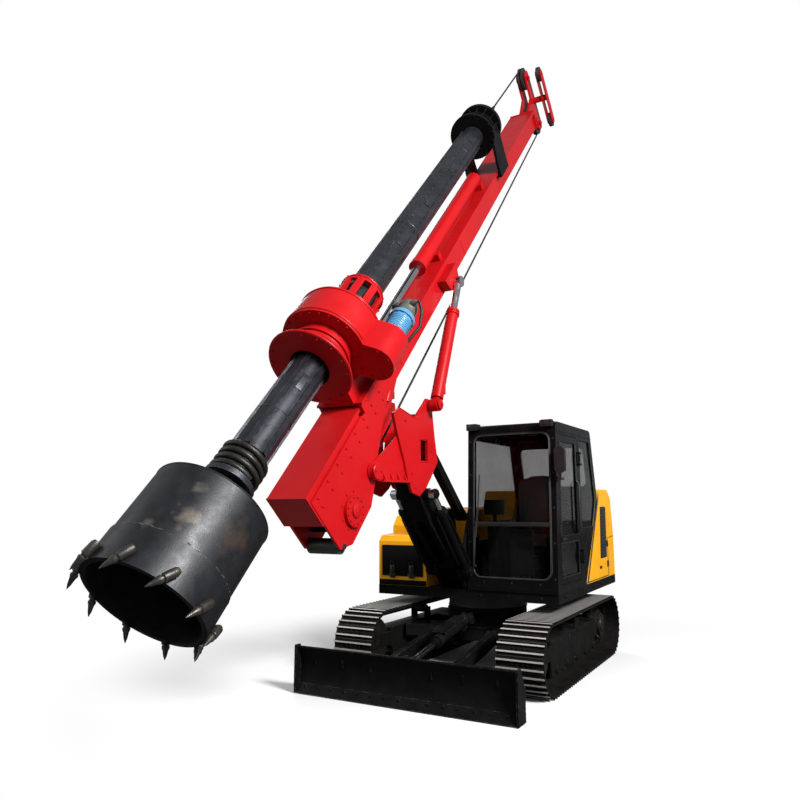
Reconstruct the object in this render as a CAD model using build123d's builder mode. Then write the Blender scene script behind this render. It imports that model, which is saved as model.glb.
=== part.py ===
from build123d import *
import os
from math import acos, atan2, cos, degrees, hypot, pi, radians, sin

os.makedirs("parts", exist_ok=True)

# Millimetres. The machine faces -Y, +X is its left side, Z is up from the ground under the slew axis.
FIT = 0.3                   # gap at a pin, a seat or a bolted face
GAP = 6.0                   # gap beside a piece that moves past

# Undercarriage
TRACK_GAUGE = 1770          # between the track centre lines
SHOE_WIDTH = 450
WHEEL_BASE = 2150           # idler axle to sprocket axle
TRACK_RADIUS = 335          # axle to grouser tip
GROUSER_COUNT = 92
GROUSER_HEIGHT = 22
GROUSER_FOOT = 30
GROUSER_TIP = 13
SHOE_PLATE = 14
LINK_HEIGHT = 62
LINK_WIDTH = 36
LINK_GAUGE = 104            # between the two link rails of one track
FRAME_HALF = 96             # half width of a track frame
SKIRT = 18                  # track frame side plate
SPROCKET_TEETH = 21
ROLLER_RADIUS = 70
TURRET_RADIUS = 430
RING_BORE = 330

# Dozer blade
BLADE_WIDTH = 2230
BLADE_FRONT = -2030
BLADE_HEIGHT = 414
BLADE_LIFT_OFF = 8          # cutting edge above the ground
BLADE_PIN = (-660, 400)     # Y, Z of the arm pivots
BLADE_ARM_X = 330
BLADE_CYL_FOOT = (-560, 560)
BLADE_CYL_EYE = (-1830, 333)

# House and cab
PLATFORM_BOTTOM = 767
PLATFORM_TOP = 865
HOUSE_HALF = 1030           # half width of the house
HOUSE_FRONT = -650
TAIL_REAR = 1700
TAIL_RADIUS = 1930          # swing radius of the tail corners
CAB_IN = 65                 # X of the cab's inner wall
CAB_OUT = 1033              # X of the cab's door side
CAB_BASE = 905
CAB_TOP = 2580
CAB_WALL = 45
HOOD_TOP = 1905
BOX_INNER = -430            # X of the inner side of the right-hand boxes
BOX_TOP = 1420
TANK_TOP = 1640
COVER_TOP = 1700

# Front linkage, pins given as Y, Z
BOOM_X = -100               # centre plane of boom and mast
TOWER_HALF = 110            # clear width between the tower plates, halved
TOWER_PLATE = 35
BOOM_FOOT = (-550, 1000)
BOOM_TIP = (-1620, 1950)
LINK_TIP = (-1520, 2570)
BOOM_CYL_FOOT = (-760, 1060)
BOOM_CYL_BACK = 160         # cylinder eye back from the boom tip
BOOM_CYL_X = 207
MAST_CYL_FOOT = (-1590, 2690)
BRACKET_INNER = 190         # inner face of the bracket's side plates from the centre plane
BRACKET_PLATE = 26
MAST_CYL_RADIUS = 62
MAST_CYL_BARREL = 1110      # foot eye to the top of the gland
MAST_CYL_FLOOR = 110        # foot eye to the bottom of the bore
MAST_CYL_SPARE = 146        # stroke left below the rod at rest

# Mast, measured along it from its foot (s) and out of its front face (n)
MAST_FOOT = (-3453, 1806)
MAST_ANGLE = 46.6
MAST_LENGTH = 7880
MAST_WIDTH = 364            # over the guide rails
MAST_BODY = 300
MAST_DEPTH = 250
MAST_HINGE = (775, -502)
MAST_CYL_EYE = (3310, -215)
FOOT_CAP = 300              # depth of the plate that closes the mast's foot
FOOT_PLATE = 24             # hinge and winch plates on the mast's sides
WINCH_AXIS = (350, -520)
SHEAVE_RADIUS = 150
HEAD_RISE = 540             # sheave pins above the mast's top
ROPE_BACK = 497             # hoist rope behind the front face at the head

# Drill string and power head
KELLY_OUT = 503             # kelly axis out of the mast's front face
KELLY_TUBE = 136            # outer tube radius
KELLY_RIB = 150             # radius over the drive ribs
KELLY_BORE = 118
INNER_KELLY = 104
KELLY_LOW = -80
KELLY_DROP = 1740           # kelly top below the mast's top
GUIDE_LENGTH = 400
SPRING_LENGTH = 260
BARREL_RADIUS = 405
BARREL_WALL = 22
BARREL_TOP = -570
BARREL_MOUTH = -1310
TOOTH_COUNT = 10
TOOTH_LEAN = 30             # degrees, towards the cut
TOOTH_SOCKET = 26           # radius of the sockets welded outside the rim
HEAD_LOW = 910              # lower flange of the power head
HEAD_BORE = 172
CASE_RISE = 270             # gear case above the flange
CASE_HEIGHT = 350
NECK_RADIUS = 245           # ribbed neck between flange and gear case
CASE_RADIUS = 370
SLEEVE_HEIGHT = 446
MOTOR_X = 390
MOTOR_N = 290
CROWD_N = 118
CROWD_RADIUS = 86
CROWD_LOW = 3180
CROWD_HIGH = 5260

# Values that follow from those above
plate_outer = TRACK_RADIUS - GROUSER_HEIGHT
plate_inner = plate_outer - SHOE_PLATE
chain_inner = plate_inner - LINK_HEIGHT
sprocket_tip = chain_inner + 32
axle_z = TRACK_RADIUS
ring_top = PLATFORM_BOTTOM - FIT
beam_end = WHEEL_BASE / 2 - sprocket_tip - GAP
link_foot = (BOOM_FOOT[0] + LINK_TIP[0] - BOOM_TIP[0], BOOM_FOOT[1] + LINK_TIP[1] - BOOM_TIP[1])
mast_cyl_x = BRACKET_INNER + BRACKET_PLATE + MAST_CYL_RADIUS + 6 + GAP
boom_length = hypot(BOOM_TIP[0] - BOOM_FOOT[0], BOOM_TIP[1] - BOOM_FOOT[1])
boom_dir = ((BOOM_TIP[0] - BOOM_FOOT[0]) / boom_length, (BOOM_TIP[1] - BOOM_FOOT[1]) / boom_length)
boom_cyl_eye = (BOOM_TIP[0] - BOOM_CYL_BACK * boom_dir[0], BOOM_TIP[1] - BOOM_CYL_BACK * boom_dir[1])
mast_dir = (cos(radians(MAST_ANGLE)), sin(radians(MAST_ANGLE)))
head_axis = MAST_LENGTH + HEAD_RISE
kelly_high = MAST_LENGTH - KELLY_DROP
case_low = HEAD_LOW + CASE_RISE
case_top = case_low + CASE_HEIGHT


def mast_point(s, n):
    """Y and Z of a point s along the mast and n out of its front face."""
    return (MAST_FOOT[0] + s * mast_dir[0] - n * mast_dir[1],
            MAST_FOOT[1] + s * mast_dir[1] + n * mast_dir[0])


def side(x):
    """Plane of constant X, its sketch axes Y and Z."""
    return Plane.YZ.offset(x)


def along(x, start, end):
    """Plane at start, square to the line from start to end, both given as Y, Z."""
    way = (0, end[0] - start[0], end[1] - start[1])
    return Plane(origin=(x, start[0], start[1]), x_dir=(1, 0, 0), z_dir=way)


def bar_side(x, start, end):
    """Plane of constant X, its sketch axes along the line from start to end and up from it."""
    way = (0, end[0] - start[0], end[1] - start[1])
    return Plane(origin=(x, start[0], start[1]), x_dir=way, z_dir=(-1, 0, 0))


def mast_side(x):
    """Plane beside the mast, its sketch axes s and n."""
    return Plane(origin=(BOOM_X + x, *MAST_FOOT), x_dir=(0, *mast_dir), z_dir=(1, 0, 0))


def mast_cut(s, n=0):
    """Plane across the mast at s, centred n out of the front face; sketch axes X and backward."""
    return Plane(origin=(BOOM_X, *mast_point(s, n)), x_dir=(1, 0, 0), z_dir=(0, *mast_dir))


def kelly_cut(s):
    """Plane across the kelly at s, centred on its axis."""
    return mast_cut(s, KELLY_OUT)


mast_hinge = mast_point(*MAST_HINGE)
mast_cyl_eye = mast_point(*MAST_CYL_EYE)


def loop_point(u, h):
    """Point on a track loop, u along the shoe plates from the middle of the top run, h out of them."""
    run = WHEEL_BASE
    turn = pi * plate_outer
    u = (u + run / 2) % (2 * run + 2 * turn)
    r = plate_outer + h
    if u < run:
        return (u - run / 2, axle_z + r)
    if u < run + turn:
        a = (u - run) / plate_outer
        return (run / 2 + r * sin(a), axle_z + r * cos(a))
    if u < 2 * run + turn:
        return (run / 2 - (u - run - turn), axle_z - r)
    a = (u - 2 * run - turn) / plate_outer
    return (-run / 2 - r * sin(a), axle_z - r * cos(a))


# Tracks: flat shoes with two bars each, on two link rails
loop_length = 2 * WHEEL_BASE + 2 * pi * plate_outer
grouser_pitch = loop_length / GROUSER_COUNT
grouser_steps = ((-GROUSER_FOOT / 2, 0), (-GROUSER_TIP / 2, GROUSER_HEIGHT),
                 (GROUSER_TIP / 2, GROUSER_HEIGHT), (GROUSER_FOOT / 2, 0))
track_outline = []
for i in range(GROUSER_COUNT):
    for du, h in grouser_steps:
        track_outline.append(loop_point((i + 0.5) * grouser_pitch + du, h))

with BuildPart() as track_left:
    with BuildSketch(side(TRACK_GAUGE / 2 - SHOE_WIDTH / 2)):
        with BuildLine():
            Polyline(*track_outline, close=True)
        make_face()
        with Locations((0, axle_z)):
            SlotCenterToCenter(WHEEL_BASE, 2 * plate_inner, mode=Mode.SUBTRACT)
    extrude(amount=SHOE_WIDTH)
    for x in (-LINK_GAUGE / 2, LINK_GAUGE / 2):
        with BuildSketch(side(TRACK_GAUGE / 2 + x - LINK_WIDTH / 2)):
            with Locations((0, axle_z)):
                SlotCenterToCenter(WHEEL_BASE, 2 * plate_inner + 2)
                SlotCenterToCenter(WHEEL_BASE, 2 * chain_inner, mode=Mode.SUBTRACT)
        extrude(amount=LINK_WIDTH)
track_left.part.label = "track_left"
export_step(track_left.part, "parts/track_left.step")

with BuildPart() as track_right:
    mirror(track_left.part, about=Plane.YZ)
track_right.part.label = "track_right"
export_step(track_right.part, "parts/track_right.step")

# Idlers at the front of the tracks
idler_half = FRAME_HALF - SKIRT - GAP / 3
with BuildPart() as idlers:
    with BuildSketch(side(TRACK_GAUGE / 2 - idler_half)):
        with Locations((-WHEEL_BASE / 2, axle_z)):
            Circle(chain_inner - FIT)
    extrude(amount=2 * idler_half)
    with BuildSketch(side(TRACK_GAUGE / 2 - LINK_GAUGE / 4)):
        with Locations((-WHEEL_BASE / 2, axle_z)):
            Circle(chain_inner + 22)
    extrude(amount=LINK_GAUGE / 2)
    with BuildSketch(side(TRACK_GAUGE / 2 - FRAME_HALF - 4)):
        with Locations((-WHEEL_BASE / 2, axle_z)):
            Circle(30)
    extrude(amount=2 * FRAME_HALF + 8)
    mirror(about=Plane.YZ)
idlers.part.label = "idlers"
export_step(idlers.part, "parts/idlers.step")

# Sprockets with their final drives at the rear
sprocket_outline = []
for i in range(SPROCKET_TEETH):
    for step, r in ((-0.36, chain_inner - 8), (-0.14, sprocket_tip), (0.14, sprocket_tip),
                    (0.36, chain_inner - 8)):
        a = 2 * pi * (i + step) / SPROCKET_TEETH
        sprocket_outline.append((WHEEL_BASE / 2 + r * cos(a), axle_z + r * sin(a)))
with BuildPart() as sprockets:
    with BuildSketch(side(TRACK_GAUGE / 2 - 22)):
        with BuildLine():
            Polyline(*sprocket_outline, close=True)
        make_face()
    extrude(amount=44)
    with BuildSketch(side(TRACK_GAUGE / 2 - FRAME_HALF + SKIRT + FIT)):
        with Locations((WHEEL_BASE / 2, axle_z)):
            Circle(165)
    extrude(amount=FRAME_HALF - SKIRT + 60)
    with BuildSketch(side(TRACK_GAUGE / 2 + 60)):
        with Locations((WHEEL_BASE / 2, axle_z)):
            Circle(125)
    extrude(amount=34)
    mirror(about=Plane.YZ)
sprockets.part.label = "sprockets"
export_step(sprockets.part, "parts/sprockets.step")

# Bottom and carrier rollers
roller_z = axle_z - chain_inner + ROLLER_RADIUS + FIT
roller_rows = [(y, roller_z, ROLLER_RADIUS) for y in (-660, -330, 0, 330, 660)]
roller_rows.append((60, axle_z + chain_inner - 44 - FIT, 44))
with BuildPart() as track_rollers:
    for y, z, r in roller_rows:
        with BuildSketch(side(TRACK_GAUGE / 2 - FRAME_HALF + SKIRT + FIT)):
            with Locations((y, z)):
                Circle(r)
        extrude(amount=2 * (FRAME_HALF - SKIRT - FIT))
    mirror(about=Plane.YZ)
track_rollers.part.label = "track_rollers"
export_step(track_rollers.part, "parts/track_rollers.step")

# Lower frame: carbody, legs and track frames welded together
beam_low = axle_z - chain_inner + 2 * ROLLER_RADIUS + GAP
beam_top = 440
leg_angle = degrees(atan2(500, TRACK_GAUGE / 2))
lug_half = 30
with BuildPart() as lower_frame:
    with BuildSketch(Plane.XY.offset(330)):
        for a in (-leg_angle, leg_angle):
            Rectangle(2 * hypot(500, TRACK_GAUGE / 2) - 200, 270, rotation=a)
    extrude(amount=beam_top - 330)
    with BuildSketch(Plane.XY.offset(310)):
        Circle(TURRET_RADIUS)
    extrude(amount=330)
    with BuildSketch(side(TRACK_GAUGE / 2 - FRAME_HALF)):
        with Locations((0, (beam_low + beam_top) / 2)):
            Rectangle(2 * beam_end, beam_top - beam_low)
    extrude(amount=2 * FRAME_HALF)
    with BuildSketch(side(TRACK_GAUGE / 2 + FRAME_HALF - SKIRT)):
        with Locations((-40, (125 + beam_top) / 2)):
            Rectangle(2 * beam_end - 80, beam_top - 125)
        with Locations((-beam_end - 90, axle_z)):
            Rectangle(beam_end, 130)
        with Locations((-WHEEL_BASE / 2, axle_z)):
            Circle(65)
            Circle(30 + FIT, mode=Mode.SUBTRACT)
        with Locations((60, 480)):
            Rectangle(130, 130)
    extrude(amount=SKIRT)
    with BuildSketch(side(TRACK_GAUGE / 2 - FRAME_HALF)):
        with Locations((0, (125 + beam_top) / 2)):
            Rectangle(2 * beam_end - 80, beam_top - 125)
        with Locations((-beam_end - 90, axle_z)):
            Rectangle(beam_end, 130)
        with Locations((-WHEEL_BASE / 2, axle_z)):
            Circle(65)
            Circle(30 + FIT, mode=Mode.SUBTRACT)
        with Locations((60, 480)):
            Rectangle(130, 130)
        with Locations((beam_end, axle_z)):
            Rectangle(beam_end, 190)
        with Locations((WHEEL_BASE / 2, axle_z)):
            Circle(150)
    extrude(amount=SKIRT)
    with BuildSketch(side(TRACK_GAUGE / 2 - FRAME_HALF - 150)):
        with Locations((WHEEL_BASE / 2, axle_z)):
            Circle(100)
    extrude(amount=151)
    mirror(about=Plane.YZ)
    for x in (-BLADE_ARM_X, BLADE_ARM_X):
        for dx in (-lug_half - 26 - FIT, lug_half + FIT):
            with BuildSketch(side(x + dx)):
                with Locations((BLADE_PIN[0] + 190, BLADE_PIN[1] - 10)):
                    Rectangle(380, 118)
                with Locations(BLADE_PIN):
                    Circle(68)
            extrude(amount=26)
        with BuildSketch(side(x - lug_half - 40)):
            with Locations(BLADE_PIN):
                Circle(30)
        extrude(amount=2 * lug_half + 80)
    for x in (-lug_half - 24 - FIT, lug_half + FIT):
        with BuildSketch(side(x)):
            with Locations((BLADE_CYL_FOOT[0] + 90, BLADE_CYL_FOOT[1])):
                Rectangle(180, 110)
            with Locations(BLADE_CYL_FOOT):
                Circle(55)
        extrude(amount=24)
    with BuildSketch(side(-lug_half - 36)):
        with Locations(BLADE_CYL_FOOT):
            Circle(28)
    extrude(amount=2 * lug_half + 72)
    for x in (-200, 200):
        with BuildSketch(side(x - 16)):
            with Locations((470, 420)):
                Rectangle(220, 110)
            with Locations((580, 420)):
                Circle(55)
                Circle(30, mode=Mode.SUBTRACT)
        extrude(amount=32)
lower_frame.part.label = "lower_frame"
export_step(lower_frame.part, "parts/lower_frame.step")

# Slew ring, its outer race bolted to the turret
with BuildPart() as slew_ring:
    with BuildSketch(Plane.XY.offset(640 + FIT)):
        Circle(TURRET_RADIUS)
        Circle(RING_BORE, mode=Mode.SUBTRACT)
    extrude(amount=ring_top - 640 - FIT)
slew_ring.part.label = "slew_ring"
export_step(slew_ring.part, "parts/slew_ring.step")

# Dozer blade: curved mouldboard, cutting edge, end plates and a box beam behind
blade_plate = 22
beam_rear = BLADE_FRONT + 170
with BuildPart() as blade:
    with BuildSketch(side(-BLADE_WIDTH / 2)):
        with BuildLine():
            top = BLADE_LIFT_OFF + BLADE_HEIGHT
            ThreePointArc((BLADE_FRONT, BLADE_LIFT_OFF), (BLADE_FRONT + 70, top * 0.52), (BLADE_FRONT + 5, top))
            Line((BLADE_FRONT + 5, top), (BLADE_FRONT + 5 + blade_plate, top))
            ThreePointArc((BLADE_FRONT + 5 + blade_plate, top), (BLADE_FRONT + 70 + blade_plate, top * 0.52),
                          (BLADE_FRONT + blade_plate, BLADE_LIFT_OFF))
            Line((BLADE_FRONT + blade_plate, BLADE_LIFT_OFF), (BLADE_FRONT, BLADE_LIFT_OFF))
        make_face()
    extrude(amount=BLADE_WIDTH)
    with BuildSketch(side(-BLADE_WIDTH / 2 + 60)):
        with Locations((BLADE_FRONT + 120, 195)):
            Rectangle(100, 150)
    extrude(amount=BLADE_WIDTH - 120)
    for x in (-BLADE_WIDTH / 2, BLADE_WIDTH / 2 - 18):
        with BuildSketch(side(x)):
            with BuildLine():
                Polyline((BLADE_FRONT - 15, BLADE_LIFT_OFF), (BLADE_FRONT - 15, 150), (BLADE_FRONT - 8, 440),
                         (BLADE_FRONT + 60, 440), (BLADE_FRONT + 150, 260), (BLADE_FRONT + 150, BLADE_LIFT_OFF),
                         close=True)
            make_face()
        extrude(amount=18)
    for x in (-lug_half - 22 - FIT, lug_half + FIT):
        with BuildSketch(side(x)):
            with BuildLine():
                Polyline((BLADE_FRONT + 80, 200), (BLADE_FRONT + 80, 330), (BLADE_CYL_EYE[0] - 30, 400),
                         (BLADE_CYL_EYE[0] + 50, 400), (BLADE_CYL_EYE[0] + 50, 300), (beam_rear, 200), close=True)
            make_face()
        extrude(amount=22)
    with BuildSketch(side(-lug_half - 34)):
        with Locations(BLADE_CYL_EYE):
            Circle(42)
    extrude(amount=12)
    with BuildSketch(side(lug_half + 22)):
        with Locations(BLADE_CYL_EYE):
            Circle(42)
    extrude(amount=12)
blade.part.label = "blade"
export_step(blade.part, "parts/blade.step")

# Two push arms welded to the blade's box beam
arm_end = (beam_rear + FIT, 195)
with BuildPart() as blade_arms:
    with BuildSketch(side(BLADE_ARM_X - lug_half)):
        with BuildLine():
            Polyline((arm_end[0], arm_end[1] - 72), (arm_end[0], arm_end[1] + 72),
                     (BLADE_PIN[0] - 10, BLADE_PIN[1] + 62), (BLADE_PIN[0] + 10, BLADE_PIN[1] - 62), close=True)
        make_face()
        with Locations(BLADE_PIN):
            Circle(64)
            Circle(30 + FIT, mode=Mode.SUBTRACT)
    extrude(amount=2 * lug_half)
    mirror(about=Plane.YZ)
blade_arms.part.label = "blade_arms"
export_step(blade_arms.part, "parts/blade_arms.step")

# Blade cylinder with a guard plate bolted over its barrel
blade_cyl = along(0, BLADE_CYL_FOOT, BLADE_CYL_EYE)
blade_cyl_length = hypot(BLADE_CYL_EYE[0] - BLADE_CYL_FOOT[0], BLADE_CYL_EYE[1] - BLADE_CYL_FOOT[1])
blade_rod = lug_half - 4
with BuildPart() as blade_cylinder_barrel:
    with BuildSketch(blade_cyl.offset(20)):
        Circle(lug_half - 2)
    extrude(amount=62)
    with BuildSketch(blade_cyl.offset(70)):
        Circle(56)
    extrude(amount=650)
    with BuildSketch(blade_cyl.offset(120)):
        Circle(44)
    extrude(amount=700, mode=Mode.SUBTRACT)
    with BuildSketch(blade_cyl.offset(680)):
        Circle(62)
        Circle(blade_rod + FIT, mode=Mode.SUBTRACT)
    extrude(amount=50)
    with BuildSketch(side(-lug_half)):
        with Locations(BLADE_CYL_FOOT):
            Circle(52)
    extrude(amount=2 * lug_half)
    with BuildSketch(side(-lug_half)):
        with Locations(BLADE_CYL_FOOT):
            Circle(28 + FIT)
    extrude(amount=2 * lug_half, mode=Mode.SUBTRACT)
    with BuildSketch(blade_cyl.offset(150)):
        with Locations((0, 66)):
            Rectangle(150, 12)
    extrude(amount=500)
    with BuildSketch(blade_cyl.offset(180)):
        with Locations((0, 56)):
            Rectangle(60, 16)
    extrude(amount=440)
blade_cylinder_barrel.part.label = "blade_cylinder_barrel"
export_step(blade_cylinder_barrel.part, "parts/blade_cylinder_barrel.step")

with BuildPart() as blade_cylinder_rod:
    with BuildSketch(blade_cyl.offset(500)):
        Circle(blade_rod)
    extrude(amount=blade_cyl_length - 500)
    with BuildSketch(side(-lug_half + 2)):
        with Locations(BLADE_CYL_EYE):
            Circle(46)
    extrude(amount=2 * lug_half - 4)
blade_cylinder_rod.part.label = "blade_cylinder_rod"
export_step(blade_cylinder_rod.part, "parts/blade_cylinder_rod.step")

eye_half = 30
# House frame: platform and the boom tower, with stub pins for the boom cylinders
with BuildPart() as house_frame:
    with BuildSketch(Plane.XY.offset(PLATFORM_BOTTOM)):
        with Locations((0, (HOUSE_FRONT + TAIL_REAR) / 2)):
            Rectangle(2 * HOUSE_HALF, TAIL_REAR - HOUSE_FRONT)
        Circle(TAIL_RADIUS, mode=Mode.INTERSECT)
    extrude(amount=PLATFORM_TOP - PLATFORM_BOTTOM)
    with BuildSketch(Plane.XY.offset(PLATFORM_BOTTOM)):
        for y in (HOUSE_FRONT + 330, TAIL_REAR - 560):
            for x in (-HOUSE_HALF + 300, HOUSE_HALF - 300):
                with Locations((x, y)):
                    Rectangle(480, 560)
    extrude(amount=PLATFORM_TOP - PLATFORM_BOTTOM - 28, mode=Mode.SUBTRACT)
    with BuildSketch(Plane.XY.offset(ring_top - 70)):
        Circle(RING_BORE - GAP)
        Circle(RING_BORE - 60, mode=Mode.SUBTRACT)
    extrude(amount=PLATFORM_BOTTOM - ring_top + 71)
    for x in (-TOWER_HALF - TOWER_PLATE, TOWER_HALF):
        with BuildSketch(side(BOOM_X + x)):
            with BuildLine():
                Polyline((HOUSE_FRONT + 5, PLATFORM_TOP - 1), (BOOM_CYL_FOOT[0] - 43, BOOM_CYL_FOOT[1] - 42),
                         (BOOM_CYL_FOOT[0], BOOM_CYL_FOOT[1] + 60), (link_foot[0] - 80, link_foot[1] + 10),
                         (link_foot[0] + 75, link_foot[1] + 20), (link_foot[0] + 120, link_foot[1] - 200),
                         (-60, PLATFORM_TOP - 1), close=True)
            make_face()
            with Locations(link_foot):
                Circle(84)
            with Locations(BOOM_CYL_FOOT):
                Circle(60)
        extrude(amount=TOWER_PLATE)
    for pin, r in ((BOOM_FOOT, 40), (link_foot, 32)):
        with BuildSketch(side(BOOM_X - TOWER_HALF - TOWER_PLATE - 12)):
            with Locations(pin):
                Circle(r)
        extrude(amount=2 * (TOWER_HALF + TOWER_PLATE + 12))
    with BuildSketch(side(BOOM_X - TOWER_HALF - 1)):
        with Locations((link_foot[0] + 130, PLATFORM_TOP + 180)):
            Rectangle(30, 362)
    extrude(amount=2 * TOWER_HALF + 2)
    for x in (-1, 1):
        for out, r in ((BOOM_CYL_X + eye_half + 6, 30), (BOOM_CYL_X - eye_half - FIT, 48)):
            with BuildSketch(side(BOOM_X + x * (TOWER_HALF + 10))):
                with Locations(BOOM_CYL_FOOT):
                    Circle(r)
            extrude(amount=x * (out - TOWER_HALF - 10))
house_frame.part.label = "house_frame"
export_step(house_frame.part, "parts/house_frame.step")

# Counterweight round the tail
weight_front = 1330
weight_top = 1330
with BuildPart() as counterweight:
    with BuildSketch(Plane.XY.offset(PLATFORM_TOP + FIT)):
        with Locations((0, (weight_front + TAIL_REAR) / 2)):
            Rectangle(2 * HOUSE_HALF, TAIL_REAR - weight_front)
        Circle(TAIL_RADIUS, mode=Mode.INTERSECT)
    extrude(amount=weight_top - PLATFORM_TOP - FIT)
    fillet(counterweight.edges().group_by(Axis.Z)[-1].sort_by(Axis.Y)[-1], 60)
counterweight.part.label = "counterweight"
export_step(counterweight.part, "parts/counterweight.step")

# Cab outline seen from the side, without its wall
cab_front_low = (-667, CAB_BASE)
cab_front_top = (-574, CAB_TOP)
cab_rear_top = (720, CAB_TOP)
cab_rear_mid = (925, 1770)
cab_rear_low = (345, CAB_BASE)
cab_corners = (cab_front_low, cab_front_top, cab_rear_top, cab_rear_mid, cab_rear_low)

# Engine hood over the tail, its front edge slanted behind the cab
hood_gap = 18
hood_front_low = (cab_rear_low[0] + hood_gap + 40, PLATFORM_TOP + FIT)
hood_front_mid = (cab_rear_mid[0] + hood_gap + 20, cab_rear_mid[1] + 10)
hood_outline = (hood_front_low, hood_front_mid, (hood_front_mid[0] + 20, HOOD_TOP), (1400, HOOD_TOP),
                (1560, HOOD_TOP - 110), (1630, weight_top + FIT), (weight_front - FIT, weight_top + FIT),
                (weight_front - FIT, PLATFORM_TOP + FIT))
with BuildPart() as engine_hood:
    with BuildSketch(side(BOX_INNER + GAP)):
        with BuildLine():
            Polyline(*hood_outline, close=True)
        make_face()
    extrude(amount=HOUSE_HALF - BOX_INNER - GAP)
    fillet(engine_hood.edges().filter_by(Axis.X).group_by(Axis.Z)[-1], 60)
    with BuildSketch(side(BOX_INNER + GAP + 30)):
        with BuildLine():
            Polyline((hood_front_low[0] + 60, PLATFORM_TOP), (hood_front_mid[0] + 40, cab_rear_mid[1]),
                     (hood_front_mid[0] + 60, HOOD_TOP - 40), (1380, HOOD_TOP - 40), (1500, HOOD_TOP - 140),
                     (1560, weight_top + 40), (weight_front - 40, weight_top + 40), (weight_front - 40, PLATFORM_TOP),
                     close=True)
        make_face()
    extrude(amount=HOUSE_HALF - BOX_INNER - GAP - 60, mode=Mode.SUBTRACT)
engine_hood.part.label = "engine_hood"
export_step(engine_hood.part, "parts/engine_hood.step")

# Engine as one plain block on the platform
with BuildPart() as engine_block:
    with BuildSketch(Plane.XY.offset(PLATFORM_TOP + FIT)):
        with Locations((300, 1045)):
            Rectangle(900, 420)
    extrude(amount=560)
engine_block.part.label = "engine_block"
export_step(engine_block.part, "parts/engine_block.step")

# Right-hand side: tool box in front, tank behind it and a rear cover
box_front = HOUSE_FRONT + 5
box_split = -330
tank_rear = 520
with BuildPart() as tool_box:
    with BuildSketch(side(-HOUSE_HALF)):
        with BuildLine():
            Polyline((box_front, PLATFORM_TOP + FIT), (box_front, BOX_TOP - 80), (box_front + 60, BOX_TOP - 20),
                     (box_split - FIT, BOX_TOP), (box_split - FIT, PLATFORM_TOP + FIT), close=True)
        make_face()
    extrude(amount=HOUSE_HALF + BOX_INNER)
    offset(amount=-12, openings=tool_box.faces().sort_by(Axis.Z)[0])
tool_box.part.label = "tool_box"
export_step(tool_box.part, "parts/tool_box.step")

with BuildPart() as tank:
    with BuildSketch(side(-HOUSE_HALF)):
        with BuildLine():
            Polyline((box_split, PLATFORM_TOP + FIT), (box_split, TANK_TOP - 140), (box_split + 90, TANK_TOP - 30),
                     (tank_rear, TANK_TOP), (tank_rear, PLATFORM_TOP + FIT), close=True)
        make_face()
    extrude(amount=HOUSE_HALF + BOX_INNER)
    offset(amount=-12, openings=tank.faces().sort_by(Axis.Z)[0])
tank.part.label = "tank"
export_step(tank.part, "parts/tank.step")

with BuildPart() as rear_cover:
    with BuildSketch(side(-HOUSE_HALF)):
        with BuildLine():
            Polyline((tank_rear + FIT, PLATFORM_TOP + FIT), (tank_rear + FIT, TANK_TOP),
                     (weight_front - 230, COVER_TOP), (weight_front - FIT, TANK_TOP),
                     (weight_front - FIT, PLATFORM_TOP + FIT), close=True)
        make_face()
    extrude(amount=HOUSE_HALF + BOX_INNER)
    offset(amount=-12, openings=rear_cover.faces().sort_by(Axis.Z)[0])
rear_cover.part.label = "rear_cover"
export_step(rear_cover.part, "parts/rear_cover.step")

# Cab: a hollow shell split into floor, body and roof, its windows and doorway cut through
roof_low = CAB_TOP - 95
cab_width = CAB_OUT - CAB_IN
cab_mid = (CAB_OUT + CAB_IN) / 2
front_up = (cab_front_top[0] - cab_front_low[0], cab_front_top[1] - cab_front_low[1])
windscreen = Plane(origin=(cab_mid, *cab_front_low), x_dir=(1, 0, 0), z_dir=(0, -front_up[1], front_up[0]))
screen_size = (cab_width - 130, 1480)
screen_mid = 830
pane = 6
door_front = -585
door_rear = 160
door_low = CAB_BASE + 35
door_high = roof_low - 25
door_lean = front_up[0] / front_up[1]
door_corners = ((door_front, door_low), (door_front + door_lean * (door_high - door_low), door_high),
                (door_rear, door_high), (door_rear, door_low))
quarter_corners = ((door_rear + 75, 1480), (door_rear + 75, door_high - 20), (665, door_high - 20), (840, 1780),
                   (690, 1480))
wall_corners = ((-520, 1350), (-470, door_high - 20), (640, door_high - 20), (800, 1780), (560, 1350))
rear_window = (cab_width - 200, 470)
rear_up = (cab_rear_top[0] - cab_rear_mid[0], cab_rear_top[1] - cab_rear_mid[1])
rear_plane = Plane(origin=(cab_mid, *cab_rear_mid), x_dir=(-1, 0, 0), z_dir=(0, rear_up[1], -rear_up[0]))
rear_mid = 420

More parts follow.
